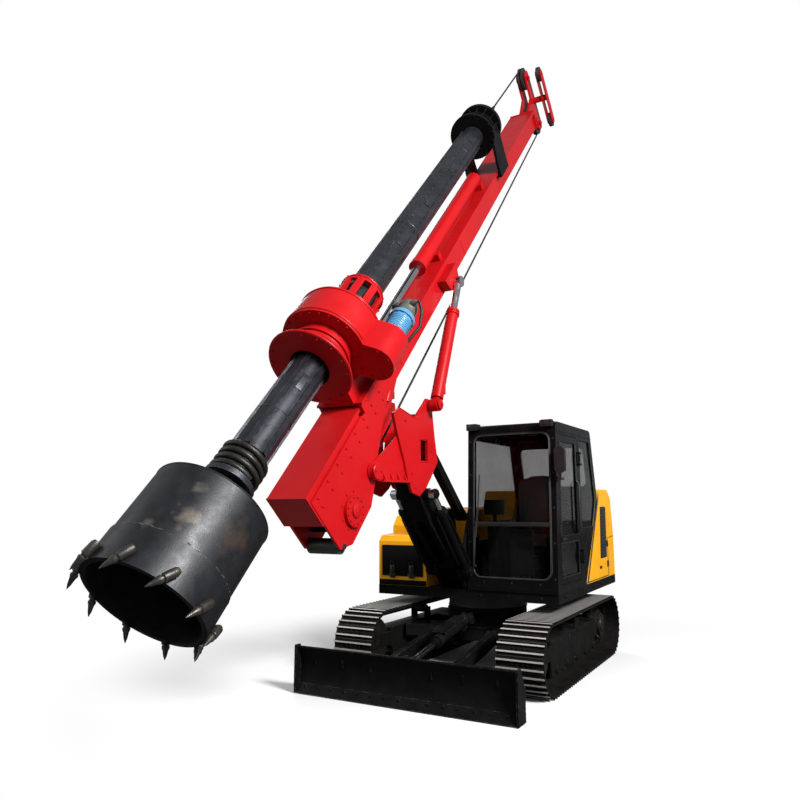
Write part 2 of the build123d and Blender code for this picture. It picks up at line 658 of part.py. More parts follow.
with BuildPart() as cab_body:
    with BuildSketch(side(CAB_IN)) as cab_outline:
        with BuildLine():
            Polyline(*cab_corners, close=True)
        make_face()
        fillet(cab_outline.vertices().group_by(Axis.Y)[-1], 70)
        fillet(cab_outline.vertices().sort_by(Axis.X)[-1], 110)
    extrude(amount=cab_width)
    with BuildSketch(side(CAB_IN + CAB_WALL)):
        with BuildLine():
            Polyline(*cab_corners, close=True)
        make_face()
        offset(amount=-CAB_WALL)
    extrude(amount=cab_width - 2 * CAB_WALL, mode=Mode.SUBTRACT)
    with BuildSketch(Plane.XY.offset(roof_low)):
        Rectangle(4000, 4000)
    extrude(amount=300, mode=Mode.SUBTRACT)
    with BuildSketch(windscreen.offset(-CAB_WALL - 30)):
        with Locations((0, screen_mid)):
            RectangleRounded(screen_size[0], screen_size[1], 90)
    extrude(amount=CAB_WALL + 90, mode=Mode.SUBTRACT)
    with BuildSketch(side(CAB_OUT - CAB_WALL - 10)):
        with BuildLine():
            Polyline(*door_corners, close=True)
        make_face()
        with BuildLine():
            Polyline(*quarter_corners, close=True)
        make_face()
    extrude(amount=CAB_WALL + 20, mode=Mode.SUBTRACT)
    with BuildSketch(side(CAB_IN - 10)):
        with BuildLine():
            Polyline(*wall_corners, close=True)
        make_face()
    extrude(amount=CAB_WALL + 20, mode=Mode.SUBTRACT)
    with BuildSketch(rear_plane.offset(-CAB_WALL - 20)):
        with Locations((0, rear_mid)):
            RectangleRounded(rear_window[0], rear_window[1], 60)
    extrude(amount=CAB_WALL + 60, mode=Mode.SUBTRACT)
    for z in (1180, 2230):
        for dz in (-74, 50):
            with BuildSketch(Plane.XY.offset(z + dz)):
                with Locations((CAB_OUT + 8, door_rear + 45)):
                    Rectangle(40, 68)
                with Locations((CAB_OUT + 18, door_rear + 12)):
                    Circle(16)
            extrude(amount=24)
        with BuildSketch(Plane.XY.offset(z - 70)):
            with Locations((CAB_OUT + 18, door_rear + 12)):
                Circle(8)
        extrude(amount=140)
cab_body.part.label = "cab_body"
export_step(cab_body.part, "parts/cab_body.step")

with BuildPart() as cab_floor:
    with BuildSketch(Plane.XY.offset(PLATFORM_TOP + FIT)):
        with Locations((cab_mid, (cab_front_low[0] + cab_rear_low[0]) / 2)):
            Rectangle(cab_width, cab_rear_low[0] - cab_front_low[0])
    extrude(amount=CAB_BASE - PLATFORM_TOP - 2 * FIT)
cab_floor.part.label = "cab_floor"
export_step(cab_floor.part, "parts/cab_floor.step")

with BuildPart() as cab_roof:
    with BuildSketch(side(CAB_IN)) as roof_outline:
        with BuildLine():
            Polyline(*cab_corners, close=True)
        make_face()
        fillet(roof_outline.vertices().group_by(Axis.Y)[-1], 70)
    extrude(amount=cab_width)
    with BuildSketch(Plane.XY):
        Rectangle(6000, 6000)
    extrude(amount=roof_low + FIT, mode=Mode.SUBTRACT)
    with BuildSketch(Plane.XY.offset(roof_low)):
        with Locations((cab_mid, 60)):
            Rectangle(cab_width - 2 * CAB_WALL, 1150)
    extrude(amount=45, mode=Mode.SUBTRACT)
cab_roof.part.label = "cab_roof"
export_step(cab_roof.part, "parts/cab_roof.step")

# Fixed panes: windscreen, rear window, inner side window and rear quarter light
with BuildPart() as cab_glass:
    with BuildSketch(windscreen.offset(-16)):
        with Locations((0, screen_mid)):
            RectangleRounded(screen_size[0] - 2 * FIT, screen_size[1] - 2 * FIT, 90 - FIT)
    extrude(amount=pane)
    with BuildSketch(rear_plane.offset(-24)):
        with Locations((0, rear_mid)):
            RectangleRounded(rear_window[0] - 2 * FIT, rear_window[1] - 2 * FIT, 60 - FIT)
    extrude(amount=pane)
    with BuildSketch(side(CAB_IN + 18)):
        with BuildLine():
            Polyline(*wall_corners, close=True)
        make_face()
        offset(amount=-FIT)
    extrude(amount=pane)
    with BuildSketch(side(CAB_OUT - 18)):
        with BuildLine():
            Polyline(*quarter_corners, close=True)
        make_face()
        offset(amount=-FIT)
    extrude(amount=pane)
cab_glass.part.label = "cab_glass"
export_step(cab_glass.part, "parts/cab_glass.step")

# Door, hinged on the post behind it, with an upper and a lower pane
door_window_high = ((door_front + 85, 1420), (door_front + 130, door_high - 75), (door_rear - 60, door_high - 75),
                    (door_rear - 60, 1420))
door_window_low = ((door_front + 60, 1010), (door_front + 80, 1350), (door_rear - 60, 1350), (door_rear - 60, 1010))
with BuildPart() as cab_door:
    with BuildSketch(side(CAB_OUT - 38)):
        with BuildLine():
            Polyline(*door_corners, close=True)
        make_face()
        offset(amount=-GAP)
        with BuildLine():
            Polyline(*door_window_high, close=True)
        make_face(mode=Mode.SUBTRACT)
        with BuildLine():
            Polyline(*door_window_low, close=True)
        make_face(mode=Mode.SUBTRACT)
    extrude(amount=38)
    for z in (1180, 2230):
        with BuildSketch(Plane.XY.offset(z - 42)):
            with Locations((CAB_OUT + 18, door_rear + 12)):
                Circle(16)
            with Locations((CAB_OUT + 11, door_rear - 24)):
                Rectangle(20, 60)
            with Locations((CAB_OUT + 3, door_rear - 34)):
                Rectangle(10, 40)
            with Locations((CAB_OUT + 18, door_rear + 12)):
                Circle(8 + FIT, mode=Mode.SUBTRACT)
        extrude(amount=84)
cab_door.part.label = "cab_door"
export_step(cab_door.part, "parts/cab_door.step")

with BuildPart() as door_glass:
    for corners in (door_window_high, door_window_low):
        with BuildSketch(side(CAB_OUT - 18)):
            with BuildLine():
                Polyline(*corners, close=True)
            make_face()
            offset(amount=-FIT)
        extrude(amount=pane)
door_glass.part.label = "door_glass"
export_step(door_glass.part, "parts/door_glass.step")

# Seat, consoles with levers and the monitor
floor_z = CAB_BASE + CAB_WALL + FIT
with BuildPart() as seat:
    with BuildSketch(Plane.XY.offset(floor_z)):
        with Locations((cab_mid, 60)):
            Rectangle(380, 400)
    extrude(amount=330)
    with BuildSketch(side(cab_mid - 250)):
        with BuildLine():
            Polyline((-190, floor_z + 325), (-190, floor_z + 450), (180, floor_z + 430), (260, floor_z + 1100),
                     (370, floor_z + 1090), (330, floor_z + 325), close=True)
        make_face()
    extrude(amount=500)
seat.part.label = "seat"
export_step(seat.part, "parts/seat.step")

with BuildPart() as controls:
    for x in (CAB_IN + CAB_WALL + 20, CAB_OUT - CAB_WALL - 150):
        with BuildSketch(Plane.XY.offset(floor_z)):
            with Locations((x + 60, -30)):
                Rectangle(120, 460)
        extrude(amount=560)
        with BuildSketch(Plane.XY.offset(floor_z + 559)):
            with Locations((x + 60, -200)):
                Circle(22)
        extrude(amount=200)
    with BuildSketch(Plane.XY.offset(floor_z)):
        with Locations((cab_mid, -330)):
            Rectangle(240, 60)
    extrude(amount=520)
controls.part.label = "controls"
export_step(controls.part, "parts/controls.step")

# Two work lamps hung ahead of the roof's front edge on strips
lamp_back = cab_front_top[0] - 16
with BuildPart() as work_lamps:
    for x in (CAB_IN + 70, CAB_OUT - 70):
        with BuildSketch(Plane.XY.offset(CAB_TOP - 56)):
            with Locations((x, lamp_back - 33)):
                Rectangle(112, 66)
        extrude(amount=68)
        with BuildSketch(Plane.XY.offset(CAB_TOP + FIT)):
            with Locations((x, lamp_back + 60)):
                Rectangle(60, 124)
        extrude(amount=8)
work_lamps.part.label = "work_lamps"
export_step(work_lamps.part, "parts/work_lamps.step")

# Mirror on a bent bar at the left front post
mirror_x = CAB_OUT + 60
mirror_y = -640
mirror_z = 2180
mirror_bar = 20
with BuildPart() as mirror_arm:
    with BuildSketch(side(CAB_OUT + FIT)):
        with Locations((-570, mirror_z - 190)):
            Rectangle(36, 60)
    extrude(amount=14)
    with BuildSketch(side(CAB_OUT + 10)):
        with Locations((-570, mirror_z - 190)):
            Rectangle(mirror_bar, mirror_bar)
    extrude(amount=60)
    with BuildSketch(Plane.XY.offset(mirror_z - 200)):
        with Locations((mirror_x, mirror_y / 2 - 295)):
            Rectangle(mirror_bar, 90)
    extrude(amount=mirror_bar)
    with BuildSketch(Plane.XY.offset(mirror_z - 200)):
        with Locations((mirror_x, mirror_y - 15)):
            Rectangle(mirror_bar, mirror_bar)
    extrude(amount=120)
    with BuildSketch(Plane.XZ.offset(-mirror_y)):
        with Locations((mirror_x, mirror_z)):
            RectangleRounded(105, 260, 40)
    extrude(amount=40)
mirror_arm.part.label = "mirror"
export_step(mirror_arm.part, "parts/mirror.step")

# Boom: two arms joined at both ends, from the tower to the bracket
boom_half = TOWER_HALF - 5
boom_slot = 100
boom_side = bar_side(BOOM_X + boom_half, BOOM_FOOT, BOOM_TIP)
with BuildPart() as boom:
    with BuildSketch(boom_side):
        with BuildLine():
            Polyline((0, -75), (260, -125), (boom_length - 420, -130), (boom_length, -66), (boom_length, 66),
                     (boom_length - 420, 110), (260, 110), (0, 75), close=True)
        make_face()
        Circle(75)
        with Locations((boom_length, 0)):
            Circle(66)
        Circle(40 + FIT, mode=Mode.SUBTRACT)
        with Locations((boom_length, 0)):
            Circle(36 + FIT, mode=Mode.SUBTRACT)
    extrude(amount=2 * boom_half)
    with BuildSketch(along(BOOM_X, BOOM_FOOT, BOOM_TIP).offset(330)):
        Rectangle(boom_slot, 400)
    extrude(amount=boom_length - 750, mode=Mode.SUBTRACT)
    with BuildSketch(side(BOOM_X - BOOM_CYL_X + eye_half + FIT)):
        with Locations(boom_cyl_eye):
            Circle(58)
    extrude(amount=2 * (BOOM_CYL_X - eye_half - FIT))
boom.part.label = "boom"
export_step(boom.part, "parts/boom.step")

# Boom cylinders, one each side of the boom
boom_cyl = along(BOOM_X + BOOM_CYL_X, BOOM_CYL_FOOT, boom_cyl_eye)
boom_cyl_length = hypot(boom_cyl_eye[0] - BOOM_CYL_FOOT[0], boom_cyl_eye[1] - BOOM_CYL_FOOT[1])
boom_barrel = 0.77 * boom_cyl_length
with BuildPart() as boom_cylinder_barrels:
    with BuildSketch(boom_cyl.offset(20)):
        Circle(eye_half - 2)
    extrude(amount=64)
    with BuildSketch(boom_cyl.offset(72)):
        Circle(50)
    extrude(amount=boom_barrel - 72)
    with BuildSketch(boom_cyl.offset(110)):
        Circle(40)
    extrude(amount=boom_barrel - 110, mode=Mode.SUBTRACT)
    with BuildSketch(boom_cyl.offset(boom_barrel - 4)):
        Circle(56)
        Circle(28 + FIT, mode=Mode.SUBTRACT)
    extrude(amount=46)
    with BuildSketch(side(BOOM_X + BOOM_CYL_X - eye_half)):
        with Locations(BOOM_CYL_FOOT):
            Circle(55)
    extrude(amount=2 * eye_half)
    with BuildSketch(side(BOOM_X + BOOM_CYL_X - eye_half)):
        with Locations(BOOM_CYL_FOOT):
            Circle(30 + FIT)
    extrude(amount=2 * eye_half, mode=Mode.SUBTRACT)
    mirror(about=side(BOOM_X))
boom_cylinder_barrels.part.label = "boom_cylinder_barrels"
export_step(boom_cylinder_barrels.part, "parts/boom_cylinder_barrels.step")

with BuildPart() as boom_cylinder_rods:
    with BuildSketch(boom_cyl.offset(0.5 * boom_cyl_length)):
        Circle(28)
    extrude(amount=0.5 * boom_cyl_length)
    with BuildSketch(side(BOOM_X + BOOM_CYL_X - eye_half)):
        with Locations(boom_cyl_eye):
            Circle(52)
    extrude(amount=2 * eye_half)
    mirror(about=side(BOOM_X))
boom_cylinder_rods.part.label = "boom_cylinder_rods"
export_step(boom_cylinder_rods.part, "parts/boom_cylinder_rods.step")

# Support link, parallel to the boom
link_half = 45
with BuildPart() as support_link:
    with BuildSketch(bar_side(BOOM_X + link_half, link_foot, LINK_TIP)):
        with Locations((boom_length / 2, 0)):
            Rectangle(boom_length, 90)
        Circle(56)
        Circle(32 + FIT, mode=Mode.SUBTRACT)
        with Locations((boom_length, 0)):
            Circle(56)
            Circle(32 + FIT, mode=Mode.SUBTRACT)
    extrude(amount=2 * link_half)
support_link.part.label = "support_link"
export_step(support_link.part, "parts/support_link.step")

mast_eye_half = 40
# Mast bracket: two side plates, a cross box and the lugs for boom and link
plate_corners = ((-2260, 2545), (-2141, 2607), (-1860, 2545), (MAST_CYL_FOOT[0] - 78, MAST_CYL_FOOT[1] + 20),
                 (MAST_CYL_FOOT[0] - 40, MAST_CYL_FOOT[1] + 60), (MAST_CYL_FOOT[0] + 50, MAST_CYL_FOOT[1] + 55),
                 (-1470, 2372), (-1418, 2153), (BOOM_TIP[0] + 56, BOOM_TIP[1] + 45), (BOOM_TIP[0] - 41, BOOM_TIP[1] - 52),
                 (-1795, 1821), (-1929, 1853), (-2012, 1975), (-2065, 2124), (-2198, 2388))
window_corners = ((-1765, 2343), (-1625, 2343), (-1625, 2150), (-1765, 2150))
arm_corners = ((mast_hinge[0], mast_hinge[1] - 74), (-1960, 1950), (-1900, 2330), (-2120, 2380), (-2330, 2240),
               (mast_hinge[0], mast_hinge[1] + 74))
cross_corners = ((-1790, 2090), (-1600, 2090), (-1470, 2200), (-1560, 2430), (-1720, 2430))
hinge_inner = MAST_BODY / 2 + FOOT_PLATE + FIT + GAP
with BuildPart() as mast_bracket:
    for x in (-BRACKET_INNER - BRACKET_PLATE, BRACKET_INNER):
        with BuildSketch(side(BOOM_X + x)):
            with BuildLine():
                Polyline(*plate_corners, close=True)
            make_face()
            with BuildLine():
                Polyline(*window_corners, close=True)
            make_face(mode=Mode.SUBTRACT)
        extrude(amount=BRACKET_PLATE)
    for x in (-1, 1):
        with BuildSketch(side(BOOM_X + x * hinge_inner)):
            with BuildLine():
                Polyline(*arm_corners, close=True)
            make_face()
            with Locations(mast_hinge):
                Circle(74)
        extrude(amount=x * (BRACKET_INNER + 4 - hinge_inner))
        with BuildSketch(side(BOOM_X + x * hinge_inner)):
            with Locations(mast_hinge):
                Circle(66)
            with Locations((-2200, 1951)):
                Rectangle(480, 20)
        extrude(amount=x * (BRACKET_INNER + BRACKET_PLATE + 14 - hinge_inner))
    with BuildSketch(side(BOOM_X - BRACKET_INNER - 1)):
        with BuildLine():
            Polyline(*cross_corners, close=True)
        make_face()
        offset(amount=-25, mode=Mode.SUBTRACT)
    extrude(amount=2 * BRACKET_INNER + 2)
    for x in (-TOWER_HALF - 26, TOWER_HALF):
        with BuildSketch(side(BOOM_X + x)):
            with BuildLine():
                Polyline((BOOM_TIP[0] - 66, BOOM_TIP[1]), (-1780, 2110), (-1590, 2110), (BOOM_TIP[0] + 66, BOOM_TIP[1]),
                         close=True)
            make_face()
            with Locations(BOOM_TIP):
                Circle(66)
        extrude(amount=26)
    for x in (-link_half - 27, link_half + 3):
        with BuildSketch(side(BOOM_X + x)):
            with BuildLine():
                Polyline((LINK_TIP[0] - 56, LINK_TIP[1]), (-1700, 2415), (-1565, 2415), (LINK_TIP[0] + 50, LINK_TIP[1] - 20),
                         close=True)
            make_face()
            with Locations(LINK_TIP):
                Circle(56)
        extrude(amount=24)
    for pin, r, half in ((BOOM_TIP, 36, TOWER_HALF + 40), (LINK_TIP, 32, link_half + 36),
                         (mast_hinge, 45, BRACKET_INNER + BRACKET_PLATE + 14)):
        with BuildSketch(side(BOOM_X - half)):
            with Locations(pin):
                Circle(r)
        extrude(amount=2 * half)
    for x in (-1, 1):
        for out, r in ((mast_cyl_x + mast_eye_half + 8, 34), (mast_cyl_x - mast_eye_half - FIT, 56)):
            with BuildSketch(side(BOOM_X + x * (BRACKET_INNER + 1))):
                with Locations(MAST_CYL_FOOT):
                    Circle(r)
            extrude(amount=x * (out - BRACKET_INNER - 1))
mast_bracket.part.label = "mast_bracket"
export_step(mast_bracket.part, "parts/mast_bracket.step")

# Mast cylinders, outside the bracket and the mast
mast_cyl = along(BOOM_X + mast_cyl_x, MAST_CYL_FOOT, mast_cyl_eye)
mast_cyl_length = hypot(mast_cyl_eye[0] - MAST_CYL_FOOT[0], mast_cyl_eye[1] - MAST_CYL_FOOT[1])
with BuildPart() as mast_cylinder_barrels:
    with BuildSketch(mast_cyl.offset(20)):
        Circle(mast_eye_half - 2)
    extrude(amount=60)
    with BuildSketch(mast_cyl.offset(70)):
        Circle(MAST_CYL_RADIUS)
    extrude(amount=MAST_CYL_BARREL - 90)
    with BuildSketch(mast_cyl.offset(MAST_CYL_FLOOR)):
        Circle(MAST_CYL_RADIUS - 12)
    extrude(amount=MAST_CYL_BARREL, mode=Mode.SUBTRACT)
    with BuildSketch(mast_cyl.offset(MAST_CYL_BARREL - 60)):
        Circle(MAST_CYL_RADIUS + 6)
        Circle(38 + FIT, mode=Mode.SUBTRACT)
    extrude(amount=60)
    with BuildSketch(side(BOOM_X + mast_cyl_x - mast_eye_half)):
        with Locations(MAST_CYL_FOOT):
            Circle(64)
    extrude(amount=2 * mast_eye_half)
    with BuildSketch(side(BOOM_X + mast_cyl_x - mast_eye_half)):
        with Locations(MAST_CYL_FOOT):
            Circle(34 + FIT)
    extrude(amount=2 * mast_eye_half, mode=Mode.SUBTRACT)
    mirror(about=side(BOOM_X))
mast_cylinder_barrels.part.label = "mast_cylinder_barrels"
export_step(mast_cylinder_barrels.part, "parts/mast_cylinder_barrels.step")

with BuildPart() as mast_cylinder_rods:
    with BuildSketch(mast_cyl.offset(MAST_CYL_FLOOR + MAST_CYL_SPARE)):
        Circle(38)
    extrude(amount=mast_cyl_length - MAST_CYL_FLOOR - MAST_CYL_SPARE)
    with BuildSketch(side(BOOM_X + mast_cyl_x - mast_eye_half)):
        with Locations(mast_cyl_eye):
            Circle(58)
    extrude(amount=2 * mast_eye_half)
    mirror(about=side(BOOM_X))
mast_cylinder_rods.part.label = "mast_cylinder_rods"
export_step(mast_cylinder_rods.part, "parts/mast_cylinder_rods.step")

# Mast: welded box with guide rails on both front edges and ears for its cylinders
mast_wall = 12
rail = 34
ear_top = -82
ear_out = mast_cyl_x - mast_eye_half - FIT
with BuildPart() as mast_body:
    with BuildSketch(mast_cut(0)):
        with Locations((0, MAST_DEPTH / 2)):
            Rectangle(MAST_BODY, MAST_DEPTH)
        with Locations((0, rail / 2)):
            Rectangle(MAST_WIDTH, rail)
        with Locations((0, MAST_DEPTH / 2 + rail / 2 - mast_wall / 2)):
            Rectangle(MAST_BODY - 2 * mast_wall, MAST_DEPTH - rail - mast_wall, mode=Mode.SUBTRACT)
    extrude(amount=MAST_LENGTH)
    with BuildSketch(mast_cut(-14)):
        with Locations((0, FOOT_CAP / 2)):
            Rectangle(MAST_WIDTH + 10, FOOT_CAP)
    extrude(amount=14)
    s, n = MAST_CYL_EYE
    for x in (-ear_out, MAST_BODY / 2 - 1):
        with BuildSketch(mast_side(x)):
            with BuildLine():
                Polyline((s - 190, ear_top), (s - 130, n - 20), (s - 55, n - 50), (s + 55, n - 50), (s + 130, n - 20),
                         (s + 190, ear_top), close=True)
            make_face()
        extrude(amount=ear_out - MAST_BODY / 2 + 1)
mast_body.part.label = "mast_body"
export_step(mast_body.part, "parts/mast_body.step")

# Mast foot: hinge and winch plates bolted to the mast's sides
foot_corners = ((20, ear_top), (20, -600), (160, -700), (560, -700), (760, -600),
                (MAST_HINGE[0] + 70, MAST_HINGE[1] - 70), (MAST_HINGE[0] + 120, MAST_HINGE[1]), (1450, -230), (1450, ear_top))
winch_radius = 110
with BuildPart() as mast_foot:
    for x in (-MAST_BODY / 2 - FOOT_PLATE - FIT, MAST_BODY / 2 + FIT):
        with BuildSketch(mast_side(x)):
            with BuildLine():
                Polyline(*foot_corners, close=True)
            make_face()
            with Locations(MAST_HINGE):
                Circle(45 + FIT, mode=Mode.SUBTRACT)
            with Locations(WINCH_AXIS):
                Circle(40 + FIT, mode=Mode.SUBTRACT)
            with Locations((70, -620)):
                Circle(22 + FIT, mode=Mode.SUBTRACT)
        extrude(amount=FOOT_PLATE)
    with BuildSketch(mast_side(-MAST_BODY / 2 - 1)):
        with Locations((620, -330)):
            Rectangle(30, 120)
    extrude(amount=MAST_BODY + 2)
mast_foot.part.label = "mast_foot"
export_step(mast_foot.part, "parts/mast_foot.step")

drum_half = MAST_BODY / 2 - 6
with BuildPart() as winch_drum:
    with BuildSketch(mast_side(-drum_half)):
        with Locations(WINCH_AXIS):
            Circle(winch_radius)
    extrude(amount=2 * drum_half)
    for x in (-drum_half, drum_half - 16):
        with BuildSketch(mast_side(x)):
            with Locations(WINCH_AXIS):
                Circle(winch_radius + 50)
        extrude(amount=16)
    with BuildSketch(mast_side(-MAST_BODY / 2 - FOOT_PLATE - 10)):
        with Locations(WINCH_AXIS):
            Circle(40)
    extrude(amount=MAST_BODY + 2 * FOOT_PLATE + 20)
    for x in (-MAST_BODY / 2 - FOOT_PLATE - 2 * FIT - 30, MAST_BODY / 2 + FOOT_PLATE + 2 * FIT):
        with BuildSketch(mast_side(x)):
            with Locations(WINCH_AXIS):
                Circle(130)
        extrude(amount=30)
winch_drum.part.label = "winch_drum"
export_step(winch_drum.part, "parts/winch_drum.step")

with BuildPart() as foot_roller:
    with BuildSketch(mast_side(-drum_half)):
        with Locations((70, -620)):
            Circle(62)
    extrude(amount=2 * drum_half)
    with BuildSketch(mast_side(-MAST_BODY / 2 - FOOT_PLATE - 8)):
        with Locations((70, -620)):
            Circle(22)
    extrude(amount=MAST_BODY + 2 * FOOT_PLATE + 16)
foot_roller.part.label = "foot_roller"
export_step(foot_roller.part, "parts/foot_roller.step")

# Mast head: neck on the mast's top, a crosshead of two plates and an auxiliary frame beside it
head_front = KELLY_OUT - SHEAVE_RADIUS
head_rear = SHEAVE_RADIUS - ROPE_BACK
aux_x = 250
aux_radius = 105
head_corners = ((MAST_LENGTH + 120, -215), (MAST_LENGTH + 120, -20), (head_axis - 110, 90),
                (head_axis - 95, head_front + 60),
                (head_axis - 40, head_front + 95), (head_axis + 60, head_front + 95), (head_axis + 95, head_front + 50),
                (head_axis + 95, head_rear - 50), (head_axis + 50, head_rear - 95), (head_axis - 50, head_rear - 95),
                (head_axis - 95, head_rear - 50), (head_axis - 110, -215))
with BuildPart() as mast_head:
    with BuildSketch(mast_cut(MAST_LENGTH + FIT)):
        with Locations((0, MAST_DEPTH / 2)):
            Rectangle(MAST_WIDTH, MAST_DEPTH + 20)
    extrude(amount=24)
    with BuildSketch(mast_cut(MAST_LENGTH + 24)):
        with Locations((0, MAST_DEPTH / 2 - 5)):
            Rectangle(170, 190)
    extrude(amount=150)
    for x in (-74, 48):
        with BuildSketch(mast_side(x)):
            with BuildLine():
                Polyline(*head_corners, close=True)
            make_face()
        extrude(amount=26)
    for n in (head_front, head_rear):
        with BuildSketch(mast_side(-84)):
            with Locations((head_axis, n)):
                Circle(30)
        extrude(amount=168)
    for x in (aux_x - 44, aux_x + 28):
        with BuildSketch(mast_side(x)):
            with Locations((head_axis + 10, (head_front + head_rear) / 2)):
                SlotCenterToCenter(head_front - head_rear, 120, rotation=90)
        extrude(amount=16)
    with BuildSketch(mast_side(70)):
        with Locations((head_axis + 10, 0)):
            Circle(45)
    extrude(amount=aux_x - 70 + 44)
    for n in (head_front, head_rear):
        with BuildSketch(mast_side(aux_x - 50)):
            with Locations((head_axis + 10, n)):
                Circle(22)
        extrude(amount=100)
mast_head.part.label = "mast_head"
export_step(mast_head.part, "parts/mast_head.step")

with BuildPart() as sheaves:
    for n in (head_front, head_rear):
        with BuildSketch(mast_side(-34)):
            with Locations((head_axis, n)):
                Circle(SHEAVE_RADIUS + 12)
                Circle(30 + FIT, mode=Mode.SUBTRACT)
        extrude(amount=68)
        with BuildSketch(mast_side(-14)):
            with Locations((head_axis, n)):
                Circle(SHEAVE_RADIUS + 20)
                Circle(SHEAVE_RADIUS - 12, mode=Mode.SUBTRACT)
        extrude(amount=28, mode=Mode.SUBTRACT)
        with BuildSketch(mast_side(aux_x - 22)):
            with Locations((head_axis + 10, n)):
                Circle(aux_radius)
                Circle(22 + FIT, mode=Mode.SUBTRACT)
        extrude(amount=44)
sheaves.part.label = "sheaves"
export_step(sheaves.part, "parts/sheaves.step")

# Crowd cylinder barrel on the mast's front face
with BuildPart() as crowd_barrel:
    with BuildSketch(mast_cut(CROWD_LOW, CROWD_N)):
        Circle(CROWD_RADIUS)
        Circle(CROWD_RADIUS - 16, mode=Mode.SUBTRACT)
    extrude(amount=CROWD_HIGH - CROWD_LOW)
    with BuildSketch(mast_cut(CROWD_LOW - 60, CROWD_N)):
        Circle(CROWD_RADIUS + 6)
        Circle(46 + FIT, mode=Mode.SUBTRACT)
    extrude(amount=90)
    with BuildSketch(mast_cut(CROWD_HIGH - 1, CROWD_N)):
        Circle(CROWD_RADIUS)
    extrude(amount=50)
    for s in (CROWD_LOW + 260, CROWD_HIGH - 80):
        with BuildSketch(mast_cut(s, CROWD_N)):
            with Locations((0, (CROWD_N - FIT) / 2 + CROWD_RADIUS / 4)):
                Rectangle(2 * CROWD_RADIUS + 60, CROWD_N - FIT - CROWD_RADIUS / 2)
            Circle(CROWD_RADIUS - 8, mode=Mode.SUBTRACT)
        extrude(amount=70)
crowd_barrel.part.label = "crowd_barrel"
export_step(crowd_barrel.part, "parts/crowd_barrel.step")

# Power head: gear case with a lobe for its motor, ribbed lower drum and the carriage on the mast rails
rail_clear = FIT
shoe_in = MAST_WIDTH / 2 + rail_clear
carriage_low = HEAD_LOW + 100
motor_reach = hypot(MOTOR_X, KELLY_OUT - MOTOR_N)
with BuildPart() as power_head:
    with BuildSketch(kelly_cut(HEAD_LOW)):
        Circle(CASE_RADIUS - 20)
    extrude(amount=26)
    with BuildSketch(kelly_cut(HEAD_LOW + 25)):
        Circle(NECK_RADIUS)
    extrude(amount=CASE_RISE - 24)
    for rise in (0.24, 0.44, 0.64):
        with BuildSketch(kelly_cut(HEAD_LOW + rise * CASE_RISE)):
            Circle(NECK_RADIUS + 22)
        extrude(amount=20)
    with BuildSketch(kelly_cut(case_low)):
        Circle(CASE_RADIUS)
        with Locations((MOTOR_X, KELLY_OUT - MOTOR_N)):
            Circle(165)
        with Locations((MOTOR_X / 2, (KELLY_OUT - MOTOR_N) / 2)):
            Rectangle(motor_reach, 330, rotation=degrees(atan2(KELLY_OUT - MOTOR_N, MOTOR_X)))
    extrude(amount=CASE_HEIGHT)
    with BuildSketch(kelly_cut(case_top - 1)):
        Circle(255)
    extrude(amount=45)
    with BuildSketch(mast_side(-150)):
        with BuildLine():
            Polyline((carriage_low, 26), (carriage_low, 250), (case_low, 300), (case_top, 300),
                     (case_top, 26), close=True)
        make_face()
    extrude(amount=300)
    with BuildSketch(kelly_cut(HEAD_LOW - 1)):
        Circle(HEAD_BORE)
    extrude(amount=case_top + 46 - HEAD_LOW, mode=Mode.SUBTRACT)
    for x in (-1, 1):
        with BuildSketch(mast_cut(carriage_low)):
            with Locations((x * (shoe_in + 15), 10)):
                Rectangle(30, 112)
            with Locations((x * (shoe_in - 30), -36)):
                Rectangle(150, 20)
            with Locations((x * (MAST_BODY / 2 + rail_clear + 14), rail + rail_clear + 12)):
                Rectangle(28, 24)
            with Locations((x * (shoe_in + 2), rail + rail_clear + 18)):
                Rectangle(56, 24)
        extrude(amount=case_top - carriage_low - 30)
power_head.part.label = "power_head"
export_step(power_head.part, "parts/power_head.step")

# Motor and its reducer on the lobe of the gear case
motor_low = case_top + FIT
with BuildPart() as drive_motor:
    for s, r, h in ((motor_low, 122, 60), (motor_low + 60, 102, 210), (motor_low + 270, 116, 40),
                    (motor_low + 310, 78, 190)):
        with BuildSketch(mast_cut(s, MOTOR_N)):
            with Locations((MOTOR_X, 0)):
                Circle(r)
        extrude(amount=h)
drive_motor.part.label = "drive_motor"
export_step(drive_motor.part, "parts/drive_motor.step")

with BuildPart() as crowd_rod:
    with BuildSketch(mast_cut(case_top + FIT, CROWD_N)):
        Circle(46)
    extrude(amount=CROWD_LOW + 380 - case_top)
    with BuildSketch(mast_cut(case_top + FIT, CROWD_N)):
        Circle(74)
    extrude(amount=60)
crowd_rod.part.label = "crowd_rod"
export_step(crowd_rod.part, "parts/crowd_rod.step")

# Drive sleeve: the lantern of ribs that turns on top of the power head
sleeve_low = case_top + 44 + FIT
sleeve_top = sleeve_low + SLEEVE_HEIGHT
with BuildPart() as drive_sleeve:
    with BuildSketch(kelly_cut(sleeve_low)):
        Circle(200)
        Circle(HEAD_BORE - 4, mode=Mode.SUBTRACT)
    extrude(amount=sleeve_top - sleeve_low)
    with BuildSketch(kelly_cut(sleeve_low + 90)):
        with PolarLocations(185, 9):
            Rectangle(80, 70)
    extrude(amount=sleeve_top - sleeve_low - 150, mode=Mode.SUBTRACT)
    with BuildSketch(kelly_cut(sleeve_low)):
        Circle(232)
        Circle(190, mode=Mode.SUBTRACT)
    extrude(amount=30)
drive_sleeve.part.label = "drive_sleeve"
export_step(drive_sleeve.part, "parts/drive_sleeve.step")

